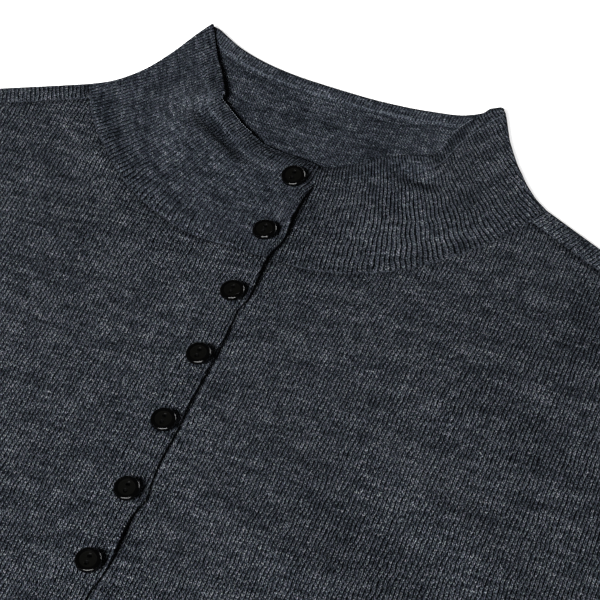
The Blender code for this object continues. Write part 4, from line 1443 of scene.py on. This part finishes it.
def sewn_thread():
    """The strands that pass from one hole to the other across the groove."""
    mesh = bmesh.new()
    for across in THREAD_STRANDS:
        rings = []
        for turn in np.linspace(0, math.pi, STRAND_STEPS):
            y = -math.cos(turn) * HOLE_SPACING / 2
            z = THREAD_FOOT + THREAD_RISE * math.sin(turn) ** 0.5
            ring = []
            for angle in np.arange(STRAND_SIDES) * 2 * math.pi / STRAND_SIDES:
                lean = -math.cos(turn) * math.sin(angle)
                spot = (across + THREAD_RADIUS * math.cos(angle), y + THREAD_RADIUS * lean,
                        z + THREAD_RADIUS * math.sin(angle) * (0.3 + 0.7 * math.sin(turn)))
                ring.append(mesh.verts.new([value * MM for value in spot]))
            rings.append(ring)
        for low, high in zip(rings, rings[1:]):
            for k in range(STRAND_SIDES):
                after = (k + 1) % STRAND_SIDES
                mesh.faces.new((low[k], low[after], high[after], high[k]))
        mesh.faces.new(rings[0])
        mesh.faces.new(rings[-1])
    strands = plain_mesh("strands", mesh, thread)
    data = strands.data
    bpy.data.objects.remove(strands)
    return data


button_data, thread_data = turned_button(), sewn_thread()
seat = HIGH + LAYER + WALL / 2 + AIR
for number in range(BUTTON_COUNT):
    tilt = [math.radians(angle) for angle in BUTTON_TILTS[number]]
    y = -FIRST_PITCH - (number - 1) * PITCH if number else 0
    z = seat + BUTTON_FOOT * math.sin(math.hypot(*tilt))
    spot = Matrix.Translation(Vector((0, y - MIDDLE_Y, z)) * MM)
    turn = Matrix.Rotation(tilt[1], 4, "Y") @ Matrix.Rotation(tilt[0], 4, "X")
    for word, data in (("button", button_data), ("thread", thread_data)):
        mesh = data.copy()
        mesh.transform(spot @ turn)
        piece = placed(f"{word}_{number + 1}_sewn", mesh)
        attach(piece, "root")
        if word == "button":
            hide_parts(f"button_{number + 1}")


# Floor and light: a plain pale table top of opal acrylic, lit from below as for shots of clothing, under one
# softbox in front and to the left. Two strips, one in front and one behind, only glint on the buttons.
FLOOR_COLOUR = "#f4f4f4"
FLOOR_DROP = 0.0002
LAMPS_AIM = Vector((0, 0.2, 0))
SKY_STRENGTH = 0.035
floor_mesh = bmesh.new()
bmesh.ops.create_grid(floor_mesh, x_segments=1, y_segments=1, size=6)
floor_data = bpy.data.meshes.new("floor")
floor_mesh.to_mesh(floor_data)
floor_mesh.free()
floor = placed("floor", floor_data)
floor.location.z = -FLOOR_DROP
floor.data.materials.append(plain_material("opal acrylic, lit from below", FLOOR_COLOUR, 0.9, 0.1, 0.8))

# Each lamp's name, place, size and power, and whether it only shows in reflections.
LAMPS = (
    ("key softbox", (-0.95, -2.1, 2.1), (1.6, 0.9), 236, False),
    ("front strip", (0.4, -2.15, 1.95), (2.8, 0.5), 150, True),
    ("back strip", (1.35, 2.4, 0.5), (1.6, 0.3), 28, True),
)
for name, at, size, power, mirrored in LAMPS:
    lamp = bpy.data.lights.new(name, "AREA")
    lamp.shape = "RECTANGLE"
    lamp.size, lamp.size_y = size
    lamp.energy = power
    stand = placed(name, lamp)
    stand.location = at
    stand.visible_glossy, stand.visible_diffuse = mirrored, not mirrored
    stand.rotation_euler = (LAMPS_AIM - Vector(at)).to_track_quat("-Z", "Y").to_euler()
sky = bpy.data.worlds.new("studio")
sky.use_nodes = True
backdrop = sky.node_tree.nodes["Background"].inputs
backdrop["Color"].default_value = (1, 1, 1, 1)
backdrop["Strength"].default_value = SKY_STRENGTH
bpy.context.scene.world = sky
bpy.context.scene.view_settings.view_transform = "Standard"
